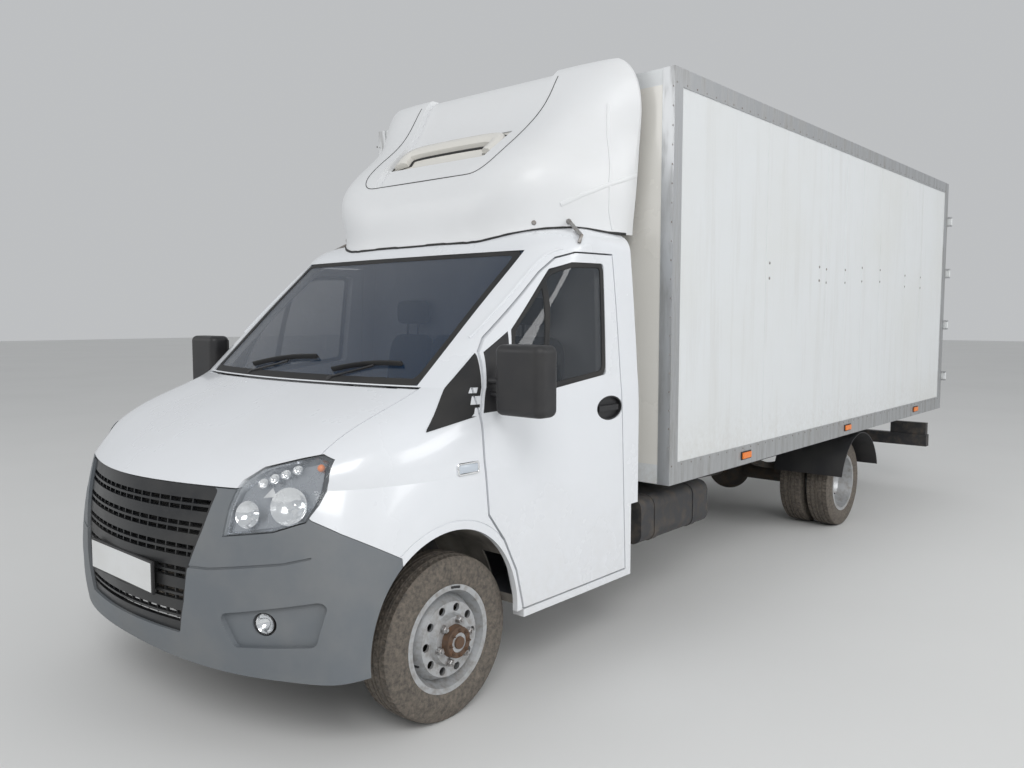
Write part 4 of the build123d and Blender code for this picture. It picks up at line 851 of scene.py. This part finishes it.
def cushion_into(builder, x, y, z, lean=0.0, cells=14):
    """A stuffed block with soft edges, a channel down its middle and a slight swell."""
    spans = (x, y, z)
    middle = [(a + b) / 2 for a, b in spans]
    half = [(b - a) / 2 for a, b in spans]
    start = len(builder.verts)
    made = bmesh.ops.create_cube(builder, size=2)["verts"]
    edges = list({edge for vert in made for edge in vert.link_edges})
    bmesh.ops.subdivide_edges(builder, edges=edges, cuts=cells, use_grid_fill=True)
    builder.verts.ensure_lookup_table()
    thin = min(range(3), key=lambda k: half[k])
    across, along = [k for k in range(3) if k != thin]
    for vert in builder.verts[start:]:
        u = list(vert.co)
        reach = max(abs(v) for v in u)
        norm = sum(abs(v) ** CUSHION_POWER for v in u) ** (1 / CUSHION_POWER)
        u = [v * reach / norm for v in u]
        channel = math.exp(-(u[across] / 0.05) ** 2) * 0.10
        piping = 0.05 * math.exp(-((abs(u[across]) - 0.62) / 0.05) ** 2)
        u[thin] *= 0.93 - (channel + piping) + CUSHION_SWELL * ((1 - u[across] ** 2) * (1 - u[along] ** 2))
        place = [m + h * v for m, h, v in zip(middle, half, u)]
        vert.co = Vector((place[0], place[1] + lean * (place[2] - z[0]), place[2]))


def make_seats():
    """The driver's seat and the passenger bench, with head rests."""
    soft, hard = builders(2)
    low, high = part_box("seats")

    def span(pair):
        return tuple(axle(y) for y in pair)

    for x0, x1 in SEAT_ROWS_INNER:
        x0, x1 = low[0] if x0 is None else x0, high[0] if x1 is None else x1
        cushion_into(soft, (x0 + 0.004, x1 - 0.004), span(SEAT_BASE_Y), SEAT_BASE_Z)
        cushion_into(soft, (x0 + 0.004, x1 - 0.004), span(SEAT_BACK_Y), SEAT_BACK_Z, lean=BACK_LEAN)
        middle = (x0 + x1) / 2
        if x1 - x0 > NARROWEST_WITH_REST:
            cushion_into(soft, (middle - HEAD_REST_HALF, middle + HEAD_REST_HALF), span(HEAD_REST_Y),
                         HEAD_REST_Z, cells=10)
            for post in (-0.045, 0.045):
                tube_into(hard, [Vector((middle + post, axle(1.118), 1.50)),
                                 Vector((middle + post, axle(1.125), 1.60))], 0.007, 8)
        box_into(hard, (x0 + 0.06, axle(0.69), 0.78), (x1 - 0.06, axle(1.05), 0.888))
    cushions = add_piece("seat_cushions", soft, "seat_cloth")
    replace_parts(cushions, "seats")
    add_piece("seat_frames", hard, "interior", bevel=0.004)


# Doors from inside: a panel in rows and columns, then its mouldings as y, z and depth
PANEL_CELLS = 12
PANEL_Z = (0.50, 0.70)
PANEL_REAR = 1.04
DOOR_MOULDINGS = ((0.50, 0.92, 0.985, 1.030, 0.045), (0.34, 0.95, 0.560, 0.640, 0.030),
                  (0.58, 0.78, 1.080, 1.112, 0.022), (0.36, 0.42, 1.085, 1.120, 0.024))
SPEAKER = ((-0.004, 0.080), (0.014, 0.078), (0.017, 0.066), (0.012, 0.060), (0.012, NO_RADIUS))


def make_door_trim(side, tag):
    """The moulded panel on a door's inner side with its armrest, pocket, pull and speaker."""
    tree = surface(f"door_{tag}")

    def inside(y, z):
        return onto(tree, (0.0, axle(y), z), (side, 0, 0))

    sheet, moulded = builders(2)
    rows = []
    for r in range(PANEL_CELLS + 1):
        z = PANEL_Z[0] + PANEL_Z[1] * r / PANEL_CELLS
        start = 0.32 if z < 0.72 else 0.22
        row = []
        for c in range(PANEL_CELLS + 1):
            place, normal = inside(start + (PANEL_REAR - start) * c / PANEL_CELLS, z)
            swell = 0.008 * min(1.0, r, PANEL_CELLS - r, c, PANEL_CELLS - c)
            row.append(sheet.verts.new(place + normal * (0.0005 + swell)) if place is not None else None)
        rows.append(row)
    for a, b in zip(rows, rows[1:]):
        for c in range(PANEL_CELLS):
            corners = (a[c], a[c + 1], b[c + 1], b[c])
            if None not in corners:
                sheet.faces.new(corners)
    for y0, y1, z0, z1, deep in DOOR_MOULDINGS:
        place, _ = inside((y0 + y1) / 2, (z0 + z1) / 2)
        if place is not None:
            x0, x1 = sorted((place.x - side * deep, place.x + side * 0.004))
            box_into(moulded, (x0, axle(y0), z0), (x1, axle(y1), z1))
    turned_into(moulded, SPEAKER, inside(0.45, 0.80)[0], Vector((-side, 0, 0)), 36)
    add_piece(f"door_panel_{tag}", sheet, "interior", f"door_{tag[0]}")
    add_piece(f"door_mouldings_{tag}", moulded, "black_plastic", f"door_{tag[0]}", bevel=0.006)


# Box: places from the front axle, and heights
SEAM_PLACES = (2.49, 3.42, 3.77, 4.11, 4.51, 5.13, 5.56)
SEAM_HALF, SEAM_THICKNESS = 0.011, 0.0012
PATCHED_HOLES = ((2.53, (1.86, 1.95)), (3.30, (1.87, 1.96)), (3.42, (1.86, 1.95)), (3.77, (1.87, 1.96)),
                 (4.11, (1.89, 1.99)), (4.51, (1.90, 1.99)), (5.13, (1.88, 1.97)), (5.56, (1.88, 1.97)))
RAIL_RIVETS, RAIL_FIRST, RAIL_STEP = 49, 1.42, 0.1
POST_RIVETS, POST_PLACE, POST_FIRST, POST_STEP = 20, 1.385, 0.20, 0.094
MARKER_PLACES = (2.26, 3.90, 5.54)
# Each layer of a marker: how far it stands out, half its length, and its heights above the box's foot
MARKER_BASE = (0.004, 0.062, 0.030, 0.078)
MARKER_LENS = (0.012, 0.054, 0.036, 0.072)


def screw_into(builder, place, normal, radius, height):
    """A domed screw head seated on a surface."""
    profile = ((-0.001, radius), (height * 0.5, radius * 0.95), (height, radius * 0.6), (height, NO_RADIUS))
    turned_into(builder, profile, place, normal, 12)


def make_box_trim(side, tag):
    """The upright seams and rivet rows of a clad side, with marker lamps on its bottom rail."""
    low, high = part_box("box_trim")
    seams, heads, lens, base = builders(4)
    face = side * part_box("box_side_left")[1][0]
    rail = side * high[0]
    out = Vector((side, 0, 0))
    z0, z1 = low[2] + 0.1125, high[2] - 0.0905
    for y in SEAM_PLACES:
        a, b = axle(y) - SEAM_HALF * side, axle(y) + SEAM_HALF * side
        tile_into(seams, ((face, a, z0), (face, b, z0), (face, b, z1), (face, a, z1)), SEAM_THICKNESS)
    for y, levels in PATCHED_HOLES:
        for z in levels:
            screw_into(heads, Vector((face, axle(y), z)), out, 0.009, 0.004)
    on_rail = [(RAIL_FIRST + step * RAIL_STEP, z) for step in range(RAIL_RIVETS)
               for z in (low[2] + 0.098, high[2] - 0.076)]
    on_rail += [(POST_PLACE, low[2] + POST_FIRST + step * POST_STEP) for step in range(POST_RIVETS)]
    for y, z in on_rail:
        screw_into(heads, Vector((rail, axle(y), z)), out, 0.005, 0.002)
    for y in MARKER_PLACES:
        for layer, (proud, half, z_low, z_high) in ((base, MARKER_BASE), (lens, MARKER_LENS)):
            x0, x1 = sorted((rail, rail + side * proud))
            box_into(layer, (x0, axle(y) - half, low[2] + z_low), (x1, axle(y) + half, low[2] + z_high))
    add_piece(f"box_seams_{tag}", seams, "box_panel")
    add_piece(f"box_rivets_{tag}", heads, "steel")
    add_piece(f"marker_bases_{tag}", base, "rubber", bevel=0.001)
    add_piece(f"marker_lenses_{tag}", lens, "amber", bevel=0.003)


# Rear: the seals round the cargo doors, and the tail lamps, whose lenses run the same way on both sides
SEAL_BACK = 6.324
SEAL_INSET = 0.012
SEAL_INNER_X = 1.055
LAMP_BACK = 6.306
LAMP_Z = (0.518, 0.614)
LAMP_SPAN = (0.015, 0.325)
LENSES = ((0.0, 0.36, "tail_red"), (0.38, 0.68, "amber"), (0.70, 1.0, "tail_clear"))


def make_rear(side, tag):
    """A cargo door's seal and a tail lamp's lenses."""
    lamp_low, lamp_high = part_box("rear_bumper")
    low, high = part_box(f"cargo_door_{tag}")
    seal = bmesh.new()
    back = axle(SEAL_BACK) + 0.0005
    x0, x1 = (low[0] + 0.002, SEAL_INNER_X) if side > 0 else (-SEAL_INNER_X, high[0] - 0.002)
    x0, x1, z0, z1 = x0 + SEAL_INSET, x1 - SEAL_INSET, low[2] + SEAL_INSET, high[2] - SEAL_INSET
    run = densified([Vector((x, back, z)) for x, z in ((x0, z0), (x1, z0), (x1, z1), (x0, z1))], 0.08, True)
    ribbon_into(seal, run, [REARWARDS] * len(run), 0.020, 0.006, True)
    add_piece(f"cargo_seal_{tag}", seal, "rubber", f"cargo_{tag[0]}")
    edge = lamp_high[0] if side > 0 else lamp_low[0]
    inner, outer = sorted(edge - side * x for x in LAMP_SPAN)
    for start, end, look in LENSES:
        lens = bmesh.new()
        a, b = sorted((outer + (inner - outer) * start, outer + (inner - outer) * end))
        box_into(lens, (a, axle(LAMP_BACK) - 0.006, LAMP_Z[0]), (b, axle(LAMP_BACK) + 0.007, LAMP_Z[1]))
        add_piece(f"tail_lens_{look}_{tag}", lens, look, bevel=0.004)


# Nose: half sizes of the blank plate and its frame, and the fog lamps' places
PLATE_PROUD = 0.006
FRAME_HALF, FRAME_Z = 0.268, (0.586, 0.714)
PLATE_HALF, PLATE_Z = 0.260, (0.594, 0.706)
FOG_X, FOG_Z, FOG_REACH, FOG_ANGLES = 0.742, 0.542, 0.06, (0, 1.57, 3.14, 4.71)
FOG_LENS = ((-0.008, NO_RADIUS), (-0.008, 0.030), (-0.011, 0.037))
FOG_RING = ((-0.030, 0.041), (-0.006, 0.0405), (-0.004, 0.038), (-0.012, 0.036))


def make_nose_trim():
    """The blank number plate in its frame, and the fog lamps."""
    nose = surface("front_bumper", "grille")
    rim, plate = builders(2)
    places, _ = met([from_front(nose, x, 0.58 + 0.01 * k) for x in (0.0, 0.1, 0.2) for k in range(14)])
    front = min(place.y for place in places)
    face = front - PLATE_PROUD
    box_into(rim, (-FRAME_HALF, face + 0.001, FRAME_Z[0]), (FRAME_HALF, front + 0.008, FRAME_Z[1]))
    box_into(plate, (-PLATE_HALF, face, PLATE_Z[0]), (PLATE_HALF, face + 0.004, PLATE_Z[1]))
    add_piece("plate_frame", rim, "black_plastic", bevel=0.003)
    add_piece("front_plate", plate, "plate_white", bevel=0.001)
    for side, tag in SIDES:
        bowl, lens, ring = builders(3)
        ring_points = ((FOG_X + FOG_REACH * math.cos(a), FOG_Z + FOG_REACH * math.sin(a)) for a in FOG_ANGLES)
        places, normals = met([from_front(nose, side * x, z) for x, z in ring_points])
        place = sum(places, Vector()) / len(places)
        normal = sum(normals, Vector()).normalized()
        bowl_into(bowl, place - normal * 0.012, normal, 0.036, 0.026)
        turned_into(lens, FOG_LENS, place, normal, 32)
        turned_into(ring, FOG_RING, place, normal, 32)
        add_piece(f"fog_reflector_{tag}", bowl, "chrome")
        add_piece(f"fog_lens_{tag}", lens, "lamp")
        add_piece(f"fog_ring_{tag}", ring, "black_plastic")


# Fairing: runs of x and z on its front, and of y and z on its sides
COWL_RUN = ((-0.33, 2.455), (-0.345, 2.500), (-0.315, 2.535), (-0.18, 2.548),
            (0.18, 2.548), (0.315, 2.535), (0.345, 2.500), (0.33, 2.455))
SEAM_RUN = ((0.28, 2.331), (0.403, 2.336), (0.476, 2.389), (0.507, 2.488), (0.511, 2.611), (0.523, 2.756),
            (0.524, 2.880))
CREASE_RUN = ((0.904, 2.162), (0.999, 2.214), (1.122, 2.266), (1.334, 2.336))
BAND_RUN = ((1.215, 2.682), (1.173, 2.492), (1.147, 2.287), (1.159, 2.149), (1.188, 2.059))
FAIRING_SCREW = (0.81, 2.075)
BRACKET_FOOT, BRACKET_HEAD = (0.83, 1.965), (0.95, 2.085)
# The search for the lip: levels from the lowest, lines along each side and across the front
LIP_LOWEST, LIP_STEP, LIP_LEVELS = 1.976, 0.003, 32
LIP_SIDE_LINES, LIP_FRONT_LINES = 9, 61
LIP_FRONT_REAR_END = 0.95
LIP_SPREAD = 1.3


def front_run(tree, run):
    """Places and normals along a run of x and z on a front surface."""
    return met([from_front(tree, p.x, p.z, ROOF_START) for p in curved(xz(run), 5)])


def lip_hits(shell):
    """Where lines from the left, the front and the right first meet the fairing above its lip."""
    rays = [(-SIDE_START, 1.28 - 0.06 * k, Vector((1, 0, 0))) for k in range(LIP_SIDE_LINES)]
    rays += [(-0.84 + 0.028 * k, -0.4, REARWARDS) for k in range(LIP_FRONT_LINES)]
    rays += [(SIDE_START, 0.80 + 0.06 * k, Vector((-1, 0, 0))) for k in range(LIP_SIDE_LINES)]
    for x, y, way in rays:
        for level in range(LIP_LEVELS):
            hit, normal = onto(shell, Vector((x, axle(y), LIP_LOWEST + LIP_STEP * level)), way)
            if (hit is not None and (way != REARWARDS or hit.y < axle(LIP_FRONT_REAR_END))
                    and abs(hit.x) > abs(x) - LIP_SPREAD):
                yield hit, normal
                break


def make_fairing_trim():
    """The unit's frame in its slot with a band of painted shade round it, seams, creases, screws, the dark
    strip under the lip and two brackets.
    """
    roof = surface("cab_roof", "cab_side_left", "cab_side_right", "windscreen")
    shell = surface("roof_fairing")
    brackets, heads, strip, cowl, slot_shade, seam, crease = builders(7)
    on_unit = front_run(surface("roof_fairing", "cooling_unit"), COWL_RUN)
    ribbon_into(cowl, *on_unit, 0.098, 0.040, sink=0.012)
    # Painted shade: a dark band a little wider than the unit's frame stands for the shade in the open slot
    # round it
    ribbon_into(slot_shade, *on_unit, 0.132, 0.006)
    add_piece("unit_cowl", cowl, "box_front")
    add_piece("unit_slot_shade", slot_shade, "rubber")
    left = front_run(shell, SEAM_RUN)
    right = front_run(shell, [(-x, z) for x, z in SEAM_RUN[::-1]])
    ribbon_into(seam, right[0] + left[0], right[1] + left[1], 0.0045, 0.0024)
    add_piece("fairing_seam", seam, "rubber")
    for side, _ in SIDES:
        screw_into(heads, *from_side(shell, side, *FAIRING_SCREW), 0.012, 0.006)
        for run, width in ((CREASE_RUN, 0.022), (BAND_RUN, 0.016)):
            trim_on_side(crease, shell, side, yz(run), width, 0.0045, closed=False)
        foot, out = from_side(roof, side, *BRACKET_FOOT)
        head, head_out = from_side(shell, side, *BRACKET_HEAD)
        arm = [foot + out * 0.006, foot + out * 0.012 + Vector((0.0, 0.012, 0.03)), head + head_out * 0.010,
               head + head_out * 0.004]
        tube_into(brackets, arm, 0.009, 8)
        screw_into(brackets, head, head_out, 0.014, 0.010)
    add_piece("fairing_creases", crease, "fairing_paint")
    add_piece("fairing_screws", heads, "steel")
    ribbon_into(strip, *met(lip_hits(shell)), 0.014, 0.005)
    add_piece("fairing_lip", strip, "rubber")
    add_piece("fairing_brackets", brackets, "steel")


# Dashboard: the hood of the instruments, vents with their bars, and the radio panel
HOOD_PROFILE = ((0.0, NO_RADIUS), (0.0, 0.12), (0.07, 0.14), (0.075, 0.11), (0.02, 0.10))
VENTS = (-0.68, -0.12, 0.12, 0.72)
VENT_BARS, VENT_BAR_STEP = 5, 0.012


def make_dash():
    """Instruments, vents and the radio panel on the dashboard."""
    black, pale = builders(2)
    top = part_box("dashboard")[1][2]
    turned_into(black, HOOD_PROFILE, Vector((0.43, axle(0.355), top - 0.045)), Vector((0, 0.85, 0.25)), 40)
    for x in VENTS:
        box_into(black, (x - 0.065, axle(0.392), 1.150), (x + 0.065, axle(0.424), 1.215))
        for k in range(VENT_BARS):
            rise = k * VENT_BAR_STEP
            box_into(pale, (x - 0.058, axle(0.420), 1.158 + rise), (x + 0.058, axle(0.428), 1.161 + rise))
    box_into(black, (-0.10, axle(0.395), 1.00), (0.10, axle(0.424), 1.13))
    add_piece("dash_fittings", black, "black_plastic", bevel=0.004)
    add_piece("dash_vents", pale, "interior")


# Light, floor and backdrop
WORLD_COLOR, WORLD_STRENGTH = (0.93, 0.95, 0.97, 1), 0.55
FLOOR_HALF = 60
# Each lamp: its place and target with y from the front axle, size and power
LAMPS = (
    ("key", (9.0, -7.0, 9.0), (0.5, 1.5, 1.0), (6, 6), 700),
    ("side", (11.0, 5.0, 5.0), (1.0, 3.0, 1.2), (8, 4), 330),
    ("fill", (-7.0, -8.0, 5.0), (0.0, 0.0, 1.0), (6, 4), 200),
)


def area_light(name, place, target, size, power):
    """A soft rectangular lamp aimed at a point."""
    place, target = (Vector((x, axle(y), z)) for x, y, z in (place, target))
    data = bpy.data.lights.new(name, "AREA")
    data.shape = "RECTANGLE"
    data.size, data.size_y = size
    data.energy = power
    lamp = bpy.data.objects.new(name, data)
    lamp.location = place
    lamp.rotation_euler = (target - place).to_track_quat("-Z", "Y").to_euler()
    bpy.context.scene.collection.objects.link(lamp)


def make_studio():
    """A pale floor, a pale surround and three soft lamps."""
    scene = bpy.context.scene
    scene.view_settings.view_transform = "Standard"
    world = bpy.data.worlds.new("studio")
    scene.world = world
    world.use_nodes = True
    world.node_tree.nodes["Background"].inputs["Color"].default_value = WORLD_COLOR
    world.node_tree.nodes["Background"].inputs["Strength"].default_value = WORLD_STRENGTH
    grid = bmesh.new()
    bmesh.ops.create_grid(grid, x_segments=1, y_segments=1, size=FLOOR_HALF)
    mesh = bpy.data.meshes.new("floor")
    grid.to_mesh(mesh)
    grid.free()
    floor = bpy.data.objects.new("floor", mesh)
    scene.collection.objects.link(floor)
    look = Shader("floor_paint", (0.74, 0.74, 0.73), roughness=0.85)
    look.tint(look.patches(2.5, 0.4, 0.7, detail=4), (0.70, 0.70, 0.69), 0.5)
    mesh.materials.append(look.material)
    for lamp in LAMPS:
        area_light(*lamp)


make_camera()
dress_nodes()
both(make_wheels)
both(make_window_trim)
make_windscreen_trim()
both(make_headlamps)
both(make_side_trim)
make_wipers()
make_seats()
both(make_pillar_patch)
both(make_door_trim)
both(make_box_trim)
both(make_rear)
make_nose_trim()
make_fairing_trim()
make_dash()
make_studio()
